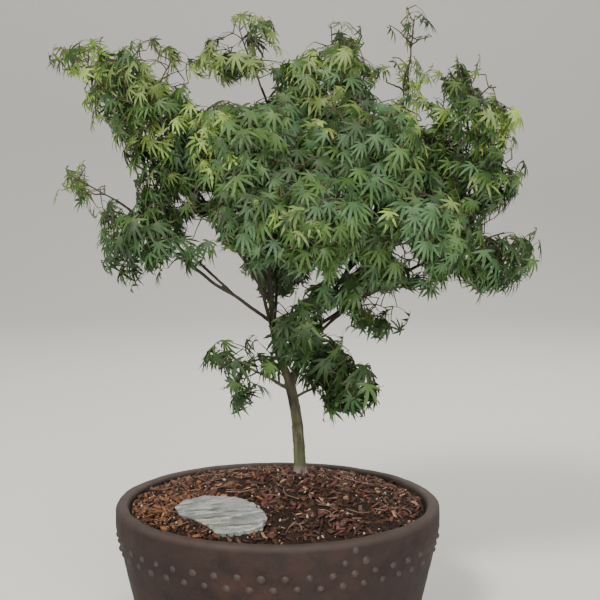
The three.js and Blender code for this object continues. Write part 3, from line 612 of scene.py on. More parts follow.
def copies(name, placed):
    """One mesh of many copies. Each entry is a shape, the axes of its copies and their places."""
    spots, corners, sizes, count = [], [], [], 0
    for shape, axes, places in placed:
        if not len(places):
            continue
        copied = np.einsum("mj,njk->nmk", shape.spots, np.asarray(axes)) + np.asarray(places)[:, None, :]
        offsets = count + len(shape.spots) * np.arange(len(places))
        spots.append(copied.reshape(-1, 3))
        corners.append((shape.corners[None, :] + offsets[:, None]).ravel())
        sizes.append(np.tile(shape.sizes, len(places)))
        count += len(spots[-1])
    spots, corners, sizes = np.concatenate(spots), np.concatenate(corners), np.concatenate(sizes)
    mesh = bpy.data.meshes.new(name)
    mesh.vertices.add(len(spots))
    mesh.vertices.foreach_set("co", spots.ravel())
    mesh.loops.add(len(corners))
    mesh.loops.foreach_set("vertex_index", corners)
    mesh.polygons.add(len(sizes))
    mesh.polygons.foreach_set("loop_start", np.concatenate(([0], np.cumsum(sizes)[:-1])))
    mesh.update(calc_edges=True)
    mesh.validate()
    return mesh


def seeded(seed):
    """Numbers from 0 to 1 that follow from the seed alone, by the same rule as in the part's source."""
    state = seed
    while True:
        state = (state * 1664525 + 1013904223) % 2**32
        yield state / 2**32


# The pot.
def pot_profile():
    lip_foot = POT_HEIGHT - LIP_DEPTH
    foot = POT_RADIUS - LIP_STEP - WALL_LEAN * (lip_foot - FOOT_ROUND)
    inner = POT_RADIUS - RIM_THICKNESS
    rim = POT_HEIGHT - RIM_ROUND
    return [
        (0, 0),
        *arc((foot - FOOT_ROUND, FOOT_ROUND), FOOT_ROUND, -90, -12),
        (POT_RADIUS - LIP_STEP, lip_foot),
        (POT_RADIUS, lip_foot + LIP_EASE),
        *arc((POT_RADIUS - RIM_ROUND, rim), RIM_ROUND, 0, 90),
        *arc((inner + RIM_ROUND, rim), RIM_ROUND, 90, 180),
        (inner - INNER_LEAN, FLOOR_THICKNESS),
        (0, FLOOR_THICKNESS),
    ]


def wall_at(height):
    """Radius and lean of the pot's outer wall at a height."""
    lip_foot = POT_HEIGHT - LIP_DEPTH
    if height >= lip_foot + LIP_EASE:
        return POT_RADIUS, 0.0
    eased = LIP_STEP * max(0.0, height - lip_foot) / LIP_EASE
    return POT_RADIUS - LIP_STEP + eased - WALL_LEAN * max(0.0, lip_foot - height), WALL_LEAN


def stud_shape():
    """A low boss that swells out of the wall."""
    body = spun([(0, STUD_PROFILE[0][1]), *STUD_PROFILE], 14)
    bmesh.ops.scale(body, vec=(STUD_RADIUS, STUD_RADIUS, STUD_STANDS), verts=body.verts)
    return Shape(body)


def stud_places():
    """Turn and height of each stud."""
    step = TURN / STUDS_ROUND
    spots = []
    for i in range(STUDS_ROUND):
        spots += [(i + 0.5, 0), (i, 1)]
    for peak in range(STUD_PEAKS):
        middle = peak * STUDS_ROUND / STUD_PEAKS
        spots += [(middle - 0.5, 2), (middle + 0.5, 2), (middle, 3)]
    return [(PEAK_TURN - TURN / 4 + i * step, LOW_STUD_ROW + row * STUD_ROW_PITCH) for i, row in spots]


def make_pot(settings):
    pot = linked(spun(divided(pot_profile(), POT_GRAIN), POT_STEPS), "pot_clay")
    smooth(pot.data)
    standing = lambda spots: np.clip((spots[:, 2] - 0.002) / 0.006, 0, 1)
    roughened(pot.data, standing, (0.0007, (22, 22, 30)), (0.00035, (75, 75, 110)), (0.00016, (260, 260, 260)))
    seated(pot, clay_material(settings.clay_color), "clay", "pot")
    rng = np.random.default_rng(3)
    axes, places = [], []
    for turn, height in stud_places():
        radius, lean = wall_at(height)
        out = np.array((math.cos(turn), math.sin(turn), -lean))
        out /= np.linalg.norm(out)
        side = np.cross(UP, out)
        side /= np.linalg.norm(side)
        size = rng.uniform(0.9, 1.12)
        axes.append(size * np.array((side, np.cross(out, side), out * rng.uniform(0.9, 1.15))))
        places.append((radius * math.cos(turn), radius * math.sin(turn), height + rng.uniform(-0.0005, 0.0005)))
    studs = linked(copies("pot_studs", [(stud_shape(), axes, places)]), "pot_studs")
    smooth(studs.data)
    seated(studs, stud_material(settings.clay_color), "clay")


# The soil.
def mound_height(radius):
    edge = POT_RADIUS - RIM_THICKNESS
    return SOIL_CROWN - (SOIL_CROWN - SOIL_EDGE) * (radius / edge) ** 2


def hollow_radius(height):
    """Radius of the pot's hollow at a height."""
    top = POT_HEIGHT - RIM_ROUND
    return POT_RADIUS - RIM_THICKNESS - INNER_LEAN * (top - height) / (top - FLOOR_THICKNESS)


def make_mound():
    bottom = FLOOR_THICKNESS + 0.0005
    edge = hollow_radius(SOIL_EDGE) - SOIL_SHY
    top = [(edge * i / SOIL_RINGS, mound_height(edge * i / SOIL_RINGS)) for i in range(SOIL_RINGS, -1, -1)]
    mound = linked(spun([(0, bottom), (hollow_radius(bottom) - SOIL_SHY, bottom), *top], SOIL_STEPS), "soil_mound")
    smooth(mound.data)
    on_top = lambda spots: ((spots[:, 2] > SOIL_EDGE - 0.002) & (np.hypot(spots[:, 0], spots[:, 1]) < edge - 0.001))
    roughened(mound.data, on_top, (0.0022, (48, 48, 48)), (0.0016, (150, 150, 150)), (0.0009, (420, 420, 420)))
    return seated(mound, soil_material(), "soil", "soil")


def flake_shape(seed):
    """A flake of bark mulch, about one unit long."""
    rng = np.random.default_rng(seed)
    body = bmesh.new()
    bmesh.ops.create_cube(body, size=1.0)
    bmesh.ops.scale(body, vec=(1.0, rng.uniform(0.22, 0.5), rng.uniform(0.09, 0.2)), verts=body.verts)
    long_edges = [edge for edge in body.edges if abs(edge.verts[0].co.x - edge.verts[1].co.x) > 0.5]
    bmesh.ops.subdivide_edges(body, edges=long_edges, cuts=2, use_grid_fill=True)
    for vert in body.verts:
        shrink = 1.0 - 0.42 * abs(vert.co.x) * rng.uniform(0.3, 1.5)
        vert.co.y = vert.co.y * shrink + rng.uniform(-0.045, 0.045)
        vert.co.z = vert.co.z * shrink + rng.uniform(-0.03, 0.03) - 0.12 * vert.co.x**2
        vert.co.x += rng.uniform(-0.09, 0.09)
    return Shape(body)


def pebble_shape(seed):
    rng = np.random.default_rng(seed)
    body = bmesh.new()
    bmesh.ops.create_icosphere(body, subdivisions=1, radius=0.5)
    for vert in body.verts:
        vert.co *= rng.uniform(0.75, 1.2)
    bmesh.ops.scale(body, vec=(1.0, rng.uniform(0.7, 1.0), rng.uniform(0.55, 0.8)), verts=body.verts)
    return Shape(body)


def on_slate(x, y):
    """Whether a spot lies well inside the slate's outline."""
    turn = SLATE["turn"]
    east, north = x - SLATE["x"], y - SLATE["y"]
    along = east * math.cos(turn) + north * math.sin(turn)
    across = north * math.cos(turn) - east * math.sin(turn)
    turns = [corner[0] for corner in SLATE_OUTLINE]
    fars = [corner[1] for corner in SLATE_OUTLINE]
    edge = np.interp(math.degrees(math.atan2(across, along)) % 360, turns, fars, period=360)
    return math.hypot(along, across) < edge - 0.004


def strewn(shapes, count, size, flatness, seed, layer=0.0, near=None):
    """Copies of small shapes strewn over the soil: their sizes lie between two limits."""
    rng = np.random.default_rng(seed)
    placed = [(shape, [], []) for shape in shapes]
    edge = POT_RADIUS - RIM_THICKNESS - 0.003
    while count > 0:
        radius, turn = edge * math.sqrt(rng.random()), TURN * rng.random()
        x, y = radius * math.cos(turn), radius * math.sin(turn)
        length = size[0] + (size[1] - size[0]) * rng.random() ** 2.2
        hidden = on_slate(x, y) or math.hypot(x - FOOT[0], y - FOOT[1]) < 0.009
        if near and rng.random() > near(x, y):
            hidden = True
        if hidden or radius + length / 2 > edge + 0.002:
            continue
        count -= 1
        _, axes, places = placed[rng.integers(len(shapes))]
        tilt = Euler((rng.normal(0, flatness), rng.normal(0, flatness), TURN * rng.random()))
        axes.append(length * np.array(tilt.to_matrix().transposed()))
        places.append((x, y, mound_height(radius) + layer + rng.uniform(-0.001, 0.0022)))
    return placed


def towards(x, y, reach):
    """A share that falls off from 1 at a place on the soil."""
    return lambda at_x, at_y: math.exp(-((at_x - x) ** 2 + (at_y - y) ** 2) / reach**2)


def make_straws():
    """Thin dry stalks that lie about on the soil."""
    rng = np.random.default_rng(48)
    strands = []
    while len(strands) < 75:
        x, y = rng.uniform(-0.13, 0.13, 2)
        turn, length = TURN * rng.random(), rng.uniform(0.008, 0.034)
        line = []
        for share in np.linspace(-0.5, 0.5, 6):
            bend = 0.12 * length * math.cos(share * 5)
            at_x = x + share * length * math.cos(turn) - bend * math.sin(turn)
            at_y = y + share * length * math.sin(turn) + bend * math.cos(turn)
            far = math.hypot(at_x, at_y)
            line.append((at_x, at_y, mound_height(far) + 0.0032 + 0.05 * share * length))
        if max(math.hypot(at_x, at_y) for at_x, at_y, _ in line) < 0.139 and not on_slate(x, y):
            strands.append((np.array(line), np.full(6, rng.uniform(0.00025, 0.0005))))
    straws = linked(tubes("straws", strands, 6), "straws")
    seated(straws, chip_material("dry_straw", (0.16, 0.075, 0.055), (0.42, 0.26, 0.20)), "soil")


def make_litter():
    flakes = [flake_shape(seed) for seed in range(11, 19)]
    pebbles = [pebble_shape(seed) for seed in range(21, 26)]
    left_edge = towards(-0.125, -0.050, 0.060)
    back_left = towards(-0.080, 0.060, 0.070)
    fits = (
        ("crumbs_dark", pebbles, 7600, (0.0010, 0.0034), 1.5, 41, 0.0002, None,
         chip_material("crumb_brown", (0.012, 0.006, 0.003), (0.062, 0.029, 0.014))),
        ("mulch_dark", flakes, 1500, (0.003, 0.013), 0.4, 42, 0.0002, None,
         chip_material("mulch_brown", (0.016, 0.007, 0.003), (0.110, 0.046, 0.024))),
        ("mulch_red", flakes, 760, (0.003, 0.012), 0.42, 43, 0.0007, None,
         chip_material("mulch_russet", (0.046, 0.013, 0.010), (0.21, 0.075, 0.052))),
        ("mulch_mauve", flakes, 330, (0.003, 0.012), 0.42, 44, 0.0008, None,
         chip_material("mulch_dusk", (0.075, 0.034, 0.030), (0.26, 0.145, 0.115))),
        ("mulch_tan", flakes, 200, (0.002, 0.010), 0.5, 45, 0.0012, None,
         chip_material("mulch_straw", (0.20, 0.10, 0.055), (0.55, 0.34, 0.21))),
        ("mulch_orange", flakes, 300, (0.003, 0.012), 0.45, 46, 0.0010, left_edge,
         chip_material("mulch_amber", (0.070, 0.026, 0.010), (0.42, 0.19, 0.075))),
        ("mulch_back", flakes, 150, (0.003, 0.011), 0.45, 49, 0.0010, back_left,
         chip_material("mulch_ochre", (0.08, 0.032, 0.018), (0.27, 0.14, 0.085))),
        ("grit_pale", pebbles, 150, (0.0013, 0.0042), 0.9, 47, 0.0014, None,
         chip_material("grit_white", (0.34, 0.25, 0.19), (0.74, 0.62, 0.50))),
    )
    for name, shapes, count, size, flatness, seed, layer, near, material in fits:
        piece = linked(copies(name, strewn(shapes, count, size, flatness, seed, layer, near)), name)
        seated(piece, material, "soil")
    make_straws()


# The slate.
def slate_corners():
    turns = [(math.radians(turn), far) for turn, far in SLATE_OUTLINE]
    return [(far * math.cos(turn), far * math.sin(turn)) for turn, far in turns]


def slate_outline(outset, seed):
    """The slate's outline: straight stretches between its corners, chipped a little."""
    corners = slate_corners()
    spots = []
    for start, end in zip(corners, corners[1:] + corners[:1]):
        steps = max(2, round(math.dist(start, end) / 0.0016))
        for step in range(steps):
            spot = Vector(start).lerp(Vector(end), step / steps)
            place = Vector((*(spot * 260), seed))
            chip = outset + 0.0014 * noise.noise(place) + 0.0011 * noise.noise(place * 2.3)
            spots.append(spot * (1 + chip / spot.length))
    return [tuple(spot) for spot in spots]


def slate_layers():
    """Thin flakes on top of each other. The middle one is set back, which leaves a slit round the edge."""
    body = bmesh.new()
    for layer, (bottom, top, outset) in enumerate(SLATE_LAYERS):
        rim = [body.verts.new((x, y, bottom)) for x, y in slate_outline(outset, 3.7 * layer)]
        raised = bmesh.ops.extrude_face_region(body, geom=[body.faces.new(rim)])["geom"]
        upper = [item for item in raised if isinstance(item, bmesh.types.BMVert)]
        bmesh.ops.translate(body, vec=(0, 0, top - bottom), verts=upper)
    bmesh.ops.recalc_face_normals(body, faces=body.faces)
    return body


def riven(spots):
    """Breaks the top into the shallow steps of riven slate."""
    top = SLATE_LAYERS[-1][1]
    upper = np.clip(spots[:, 2] / top, 0, 1) ** 2
    steps = np.array([noise.noise(Vector((x * 26 + y * 12, y * 60, 5.0))) for x, y, _ in spots])
    rough = relief(spots, (0.0004, (170, 260, 170)), (0.0002, (600, 600, 600)))
    spots[:, 2] += upper * (np.round(steps * 3) / 3 * 0.0006 + rough)
    return spots


def make_slate():
    holder = linked(slate_layers(), "slate_raw")
    remesh = holder.modifiers.new("voxels", "REMESH")
    remesh.mode = "VOXEL"
    remesh.voxel_size = SLATE_VOXEL
    mesh = baked(holder)
    mesh.vertices.foreach_set("co", riven(spots_of(mesh)).ravel())
    radius = math.hypot(SLATE["x"], SLATE["y"])
    slope = math.atan(2 * (SOIL_CROWN - SOIL_EDGE) * radius / (POT_RADIUS - RIM_THICKNESS) ** 2)
    downhill = math.atan2(SLATE["y"], SLATE["x"])
    seat = Matrix.Translation((SLATE["x"], SLATE["y"], mound_height(radius)))
    seat @= Matrix.Rotation(downhill, 4, "Z") @ Matrix.Rotation(slope, 4, "Y")
    seat @= Matrix.Rotation(SLATE["turn"] - downhill, 4, "Z") @ Matrix.Translation((0, 0, -SLATE["bedded"]))
    mesh.transform(seat)
    slate = linked(mesh, "slate_flake")
    smooth(slate.data)
    seated(slate, slate_material(), "slate", "slate")


# How the plant grows.
def unit(vector):
    return vector / np.linalg.norm(vector)


def catmull_rom(points):
    """A curve through points, with its parameter shared out evenly between them."""
    points = np.array(points, float)
    padded = np.vstack((2 * points[0] - points[1], points, 2 * points[-1] - points[-2]))

    def curve(share):
        place = share * (len(points) - 1)
        index = min(int(place), len(points) - 2)
        w = place - index
        before, start, end, after = padded[index : index + 4]
        leave, arrive = (end - before) / 2, (after - start) / 2
        return (
            (2 * w**3 - 3 * w**2 + 1) * start
            + (w**3 - 2 * w**2 + w) * leave
            + (3 * w**2 - 2 * w**3) * end
            + (w**3 - w**2) * arrive
        )

    return curve


def bezier(start, control, end):
    return lambda share: (1 - share) ** 2 * start + 2 * share * (1 - share) * control + share**2 * end


def taper(thick, thin):
    return lambda share: thick + (thin - thick) * share**TAPER_SHAPE


class Limb:
    """A limb along part of a curve, with small crooks in it."""

    def __init__(self, curve, to, radius_at, crook=0.0, seed=0.0):
        self.curve = curve
        self.to = to
        self.radius_at = radius_at
        self.crook = crook
        self.seed = seed

    def at(self, share):
        spot = self.curve(self.to * share)
        sway = self.crook * math.sin(math.pi * min(1.0, share)) if share < 1 else 0.0
        wander = noise.noise_vector(Vector((self.seed, 6.0 * share, 0.5)))
        return spot + sway * np.array(wander)

    def strand(self, start, end, count):
        shares = np.linspace(start, end, count)
        return np.array([self.at(share) for share in shares]), np.array([self.radius_at(s) for s in shares])


class Mass:
    """A mass of foliage that keeps to its own space."""

    def __init__(self, index, name, at, reach, limb, fork, pairs):
        self.name = name
        self.middle = np.array(at, float)
        self.reach = reach
        self.limb = limb
        self.fork = fork
        self.pairs = pairs
        self.seed = FIRST_SEED + SEED_STEP * index

    def room(self, spots):
        """How far inside the mass's space each spot lies."""
        mine = np.sum((spots - self.middle) ** 2, axis=-1) - self.reach**2
        room = self.reach - np.linalg.norm(spots - self.middle, axis=-1)
        for other in self.neighbours:
            theirs = np.sum((spots - other.middle) ** 2, axis=-1) - other.reach**2
            room = np.minimum(room, (theirs - mine) / (2 * np.linalg.norm(self.middle - other.middle)))
        return room


def find_masses():
    masses = [Mass(index, *facts) for index, facts in enumerate(MASSES)]
    for mass in masses:
        mass.neighbours = [
            other
            for other in masses
            if other is not mass and np.linalg.norm(mass.middle - other.middle) < mass.reach + other.reach
        ]
    return masses


def bough_curve(limb, mass):
    start = limb.at(mass.fork)
    run = mass.middle - start
    end = mass.middle + unit(run) * PAST_THE_MIDDLE * mass.reach
    rise = 0.0 if mass.name == STRAIGHT_BOUGH else BOUGH_RISE
    control = (start + end) / 2 + UP * rise * np.linalg.norm(run)
    return bezier(start, control, end)


def entry_of(curve, mass):
    """How far along its curve a bough enters its mass's space."""
    for at in np.arange(0, 1, 0.02):
        spot = curve(at)
        if np.linalg.norm(spot - mass.middle) < ENTRY_DEPTH * mass.reach and mass.room(spot) > ENTRY_ROOM:
            return at
    raise RuntimeError(mass.name + " is never reached")


def length_of(curve, to):
    spots = np.array([curve(to * i / 20) for i in range(21)])
    return np.linalg.norm(np.diff(spots, axis=0), axis=1).sum()


def trunk_radius(height):
    body = TRUNK_RADIUS + (FORK_RADIUS - TRUNK_RADIUS) * height / TRUNK_LINE[-1][2]
    return body + FLARE * math.exp(-height / FLARE_HEIGHT)


def grow_limbs(masses):
    trunk_curve = catmull_rom(TRUNK_LINE)
    limbs = {
        "trunk": Limb(trunk_curve, 1.0, lambda share: trunk_radius(trunk_curve(share)[2])),
        "leader_left": Limb(catmull_rom(LEFT_LINE), 1.0, taper(LEFT_LEADER_RADIUS, LEADER_TIP_RADIUS), 0.002, 1.0),
        "leader_right": Limb(catmull_rom(RIGHT_LINE), 1.0, taper(RIGHT_LEADER_RADIUS, LEADER_TIP_RADIUS), 0.002, 2.0),
    }
    for mass in masses:
        parent = limbs[mass.limb]
        parent_radius = parent.radius_at(mass.fork)
        curve = bough_curve(parent, mass)
        entry = entry_of(curve, mass)
        mass.stem_radius = min(STEM_RADIUS, CHILD_SHARE * parent_radius)
        if length_of(curve, entry) - parent_radius < SHORTEST_BOUGH:
            entry = 0.0
        mass.entry = entry
        mass.stem = Limb(curve, 1.0, taper(mass.stem_radius, STEM_TIP_RADIUS), 0.003, mass.seed)
        if entry:
            thick = min(BOUGH_RADIUS, CHILD_SHARE * parent_radius)
            bough = Limb(mass.stem.at, entry, taper(thick, mass.stem_radius))
            limbs[mass.name] = bough
    return limbs


def twig_headings(mass, at, pair, draw):
    """Twigs leave the stem in opposite pairs, each pair turned across the one before it."""
    tangent = unit(mass.stem.at(min(1.0, at + 0.02)) - mass.stem.at(at - 0.02))
    level = unit(np.cross(tangent, UP))
    rise = np.cross(level, tangent)
    turn = pair * (TURN / 4) + 0.4 + (next(draw) - 0.5) * 0.6
    for half in (0, TURN / 2):
        sideways = level * math.cos(turn + half) + rise * TWIG_FLATNESS * math.sin(turn + half)
        yield unit(tangent * TWIG_AHEAD + sideways)


def grow_twigs(mass):
    """The main twigs of a mass, each as long as its space lets it be."""
    draw = seeded(mass.seed)
    twigs = []
    for pair in range(mass.pairs):
        at = mass.entry + (1 - mass.entry) * (FIRST_PAIR + PAIR_STRETCH * pair / mass.pairs)
        root = mass.stem.at(at)
        for heading in twig_headings(mass, at, pair, draw):
            length = LONGEST_TWIG * mass.reach
            while length > SHORTEST_TWIG and mass.room(root + heading * length) < 0.004:
                length *= TWIG_SHRINK
            if length <= SHORTEST_TWIG:
                continue
            control = root + heading * length * 0.5 + UP * length * 0.08
            curve = bezier(root, control, root + heading * length)
            twigs.append(Limb(curve, 1.0, taper(TWIG_RADIUS, TWIG_TIP_RADIUS), 0.0022, mass.seed + len(twigs)))
    return twigs


def deal_tips(mass, spacing, rng):
    """Where the finest twigs end: spots dealt out over the mass's space, no two too near, none before a gap."""
    spots = mass.middle + 1.1 * mass.reach * rng.uniform(-1, 1, (2600, 3))
    spots = spots[(mass.room(spots - UP * HANG) > 0.002) & (mass.room(spots) > -HANG / 2)]
    tips = []
    for spot in spots:
        if all(np.linalg.norm(spot - tip) > spacing for tip in tips) and not in_sky(spot[None]):
            tips.append(spot)
    return tips


def grow_sprays(mass, twigs, spacing, rng):
    """The finest twigs. Each one starts at the nearest wood, and later ones may start on earlier ones."""
    wood = [(spot, None, 1.0) for spot in mass.stem.strand(max(mass.entry, 0.25), 0.97, 14)[0]]
    for twig in twigs:
        wood += [(twig.at(share), twig, share) for share in np.linspace(0.25, 0.97, 9)]
    bare = np.array([spot for spot, _, _ in wood])
    tips = deal_tips(mass, spacing, rng)
    tips.sort(key=lambda tip: np.linalg.norm(bare - tip, axis=1).min())
    sprays = []
    for tip in tips:
        gaps = np.linalg.norm(np.array([spot for spot, _, _ in wood]) - tip, axis=1)
        nearest = int(np.argmin(gaps))
        length = gaps[nearest]
        if length < 0.005:
            continue
        root, bearer, forks_at = wood[nearest]
        control = (root + tip) / 2 + UP * length * 0.10 + rng.normal(0, 0.06, 3) * length
        spray = Limb(bezier(root, control, tip), 1.0, taper(SPRAY_RADIUS, SPRAY_TIP_RADIUS))
        spray.bearer = bearer
        spray.forks_at = forks_at
        sprays.append(spray)
        wood += [(spray.at(share), spray, share) for share in (0.45, 0.75)]
    return sprays


def kind_of_spray(tip, rng):
    """Which green a spray has: young leaves in a few places, olive ones high up as painted light on the crown's top,
    dark ones low and inside as painted shade.
    """
    place = tip + FOOT
    for middle, reach, share in FRESH_PLACES:
        if np.linalg.norm(place - middle) < reach and rng.random() < share:
            return "fresh"
    height = np.clip((tip[2] - 0.16) / 0.26, 0, 1)
    inside = 1 - np.clip(np.hypot(tip[0] / 0.22, tip[1] / 0.12), 0, 1)
    halfway = math.exp(-(((height - 0.5) / 0.25) ** 2))
    skirt = np.clip((0.20 - tip[2]) / 0.06, 0, 1)
    weights = {
        # Dark greens in the crown's middle height and in its low skirt are painted shade.
        "deep_painted_shade": 0.15 + 0.75 * inside * halfway + 0.9 * skirt,
        "mid": 0.36,
        "cool": 0.20 + 0.16 * min(1.0, 5 * height) - 0.14 * height,
        # Fresh and olive greens grow commoner towards the top: painted light on the crown's top.
        "fresh": 0.004 + 0.12 * height**5,
        "olive_painted_light": 0.015 + 0.60 * height**5,
    }
    shares = np.array([weights[kind] for kind in LEAF_KINDS])
    return LEAF_KINDS[rng.choice(len(LEAF_KINDS), p=shares / shares.sum())]


class Leaf:
    """Where a leaf sits, how it is turned and how long its middle lobe is."""

    def __init__(self, root, heading, stalk, length, kind, rng):
        self.root = root
        self.kind = kind
        self.shape = int(rng.integers(0, 6))
        self.full = length
        self.arm = heading * stalk - UP * 0.22 * stalk
        self.lift = UP * 0.17 * stalk
        end = root + self.arm
        perky = np.clip((end[2] - 0.36) / 0.10, 0, 1)
        ahead = heading * np.array((1, 1, 0.25)) + rng.normal(0, 0.22, 3)
        ahead[2] = -(1 - perky) * abs(ahead[2]) - rng.uniform(0.25, 1.5) * (1 - 0.75 * perky)
        self.heading = unit(ahead)
        outward = np.array((end[0] / 0.150, end[1] / 0.040, 0))
        outward *= min(1.0, 1.0 / max(1e-6, np.linalg.norm(outward)))
        self.face = UP * 0.75 + outward + rng.normal(0, 0.25, 3)
        self.settle(1.0, self.heading)

    def settle(self, size, ahead):
        """Gives the leaf its size and the way its middle lobe points."""
        self.length = self.full * size
        self.blade = self.root + self.arm * size
        self.bend = self.root + (self.arm * 0.55 + self.lift) * size
        self.ahead = unit(ahead)
        self.side = unit(np.cross(self.face, self.ahead))
        self.normal = np.cross(self.ahead, self.side)

    def middle(self):
        return self.blade + self.ahead * self.length * 0.4

    def axes(self):
        return self.length * np.array((self.ahead, self.side, self.normal))

    def lobe_tips(self):
        turns = np.radians([sign * turn for turn, _ in SEVEN_LOBES for sign in (-1, 1)])
        sizes = np.repeat([size for _, size in SEVEN_LOBES], 2)
        flat = np.c_[np.cos(turns) * sizes, np.sin(turns) * sizes, -0.3 * sizes**2]
        return self.blade + flat @ self.axes()


def leaves_of(spray, length, rng):
    """A spray's leaves: opposite pairs at its joints and a pair at its tip."""
    run = np.linalg.norm(spray.at(1.0) - spray.at(0.0))
    joints = max(1, round(run / LEAF_JOINTS))
    kind = kind_of_spray(spray.at(1.0), rng)
    young = 0.8 if kind == "fresh" else 1.0
    for joint in range(joints):
        share = 1.0 - joint / joints * 0.8
        spot = spray.at(share)
        tangent = unit(spray.at(share) - spray.at(share - 0.1))
        level = np.cross(tangent, UP)
        level = unit(level) if np.linalg.norm(level) > 0.05 else np.array((1.0, 0.0, 0.0))
        rise = np.cross(level, tangent)
        turn = joint * TURN / 4 * 0.7 + rng.uniform(-0.5, 0.5)
        ways = [level * math.cos(turn + half) + rise * math.sin(turn + half) for half in (0, TURN / 2)]
        if joint == 0:
            ways.append(rise * 0.2)
        for sideways in ways:
            heading = unit(tangent * rng.uniform(0.35, 0.9) + sideways)
            size = young * length * rng.uniform(0.74, 1.16)
            leaf = Leaf(spot, heading, size * rng.uniform(0.4, 0.85), size, kind, rng)
            leaf.share = share
            yield leaf


def inside_box(tips):
    """Whether spots keep to the frame's box and a small margin round it."""
    low, high = np.array(CAD_BOX[0]) - BOX_MARGIN - FOOT, np.array(CAD_BOX[1]) + BOX_MARGIN - FOOT
    return np.all(tips > low) and np.all(tips < high)


def in_sky(spots):
    """Whether a spot hides one of the gaps in the crown from the camera."""
    east, north, up = (spots + FOOT - CAMERA_PLACE).T
    far = north * math.cos(CAMERA_DIP) - up * math.sin(CAMERA_DIP)
    high = north * math.sin(CAMERA_DIP) + up * math.cos(CAMERA_DIP)
    seen = np.stack((east / far, -high / far), axis=1) * CAMERA_LENS / SENSOR_WIDTH
    gaps = np.array(SKY_GAPS)
    off = ((seen[:, None] + 0.5) * PICTURE_SIDE - gaps[:, :2]) / gaps[:, 2:]
    return np.any(np.sum(off**2, axis=2) < 1)


def outside(spots, masses):
    """How far the outermost of some spots stands out of all the masses."""
    middles = np.array([mass.middle for mass in masses])
    reaches = np.array([mass.reach for mass in masses])
    return (np.linalg.norm(spots[:, None] - middles, axis=2) - reaches).min(axis=1).max()


def fits(leaf, mass, masses, thick_wood):
    """Whether a leaf keeps to the crown. It may shrink and turn towards its mass for that."""
    for size, turned in LEAF_TRIES:
        leaf.settle(size, leaf.heading + turned * unit(mass.middle - leaf.blade))
        middle, tips = leaf.middle(), leaf.lobe_tips()
        clear = np.min(np.linalg.norm(thick_wood - middle, axis=1)) > 0.0065
        keeps_in = mass.room(middle + UP * LOBES_HANG) > -0.006
        keeps_in = keeps_in and outside(tips + UP * LOBES_HANG, masses) < mass.edge and inside_box(tips)
        if clear and keeps_in:
            if not in_sky(np.vstack((tips, (tips + leaf.blade) / 2, middle))):
                return True
    return False


def leaves_on(bearer, mass, masses, thick_wood, spacing, middles, rng):
    """The leaves of a twig that keep to the crown and off each other."""
    kept = []
    for leaf in leaves_of(bearer, mass.leaf_length, rng):
        crowded = middles and np.min(np.linalg.norm(np.array(middles) - leaf.middle(), axis=1)) < spacing
        if not crowded and fits(leaf, mass, masses, thick_wood):
            kept.append(leaf)
            middles.append(leaf.middle())
    return kept


@lru_cache(maxsize=1)
def grown(leaf_length, spray_spacing, leaf_spacing):
    """The whole plant: its limbs, stems, twigs and leaves, counted from the trunk's foot."""
    masses = find_masses()
    limbs = grow_limbs(masses)
    thick_wood = np.concatenate([limbs[n].strand(0, 1, 60)[0] for n in ("trunk", "leader_left", "leader_right")])
    stems, twigs, sprays, leaves = [], [], [], []
    for mass in masses:
        rng = np.random.default_rng(mass.seed)
        low = np.clip((LARGE_BELOW[0] - mass.middle[2]) / (LARGE_BELOW[0] - LARGE_BELOW[1]), 0, 1)
        mass.leaf_length = leaf_length * (1 + LARGER_BY * low)
        high = np.clip((mass.middle[2] - LOOSE_ABOVE) / 0.03, 0, 1)
        mass.edge = CROWN_EDGE * (1 + max(low, high))
        mass_twigs = grow_twigs(mass)
        mass_sprays = grow_sprays(mass, mass_twigs, spray_spacing, rng)
        stem_tip = Limb(lambda share, stem=mass.stem: stem.at(0.72 + 0.28 * share), 1.0, None)
        middles = []
        for bearer in (stem_tip, *mass_twigs, *mass_sprays):
            borne = leaves_on(bearer, mass, masses, thick_wood, leaf_spacing * (1 + 0.4 * low), middles, rng)
            bearer.shown = max((leaf.share for leaf in borne), default=0.0)
            leaves += borne
        for spray in reversed(mass_sprays):
            if spray.shown and spray.bearer:
                spray.bearer.shown = max(spray.bearer.shown, spray.forks_at)
        stems.append(mass.stem.strand(max(0.0, mass.entry - 0.03), 1.0, 12))
        twigs += [twig.strand(0, twig.shown, 8) for twig in mass_twigs if twig.shown]
        sprays += [spray.strand(0, spray.shown, 5) for spray in mass_sprays if spray.shown]
    return limbs, stems, twigs, sprays, leaves


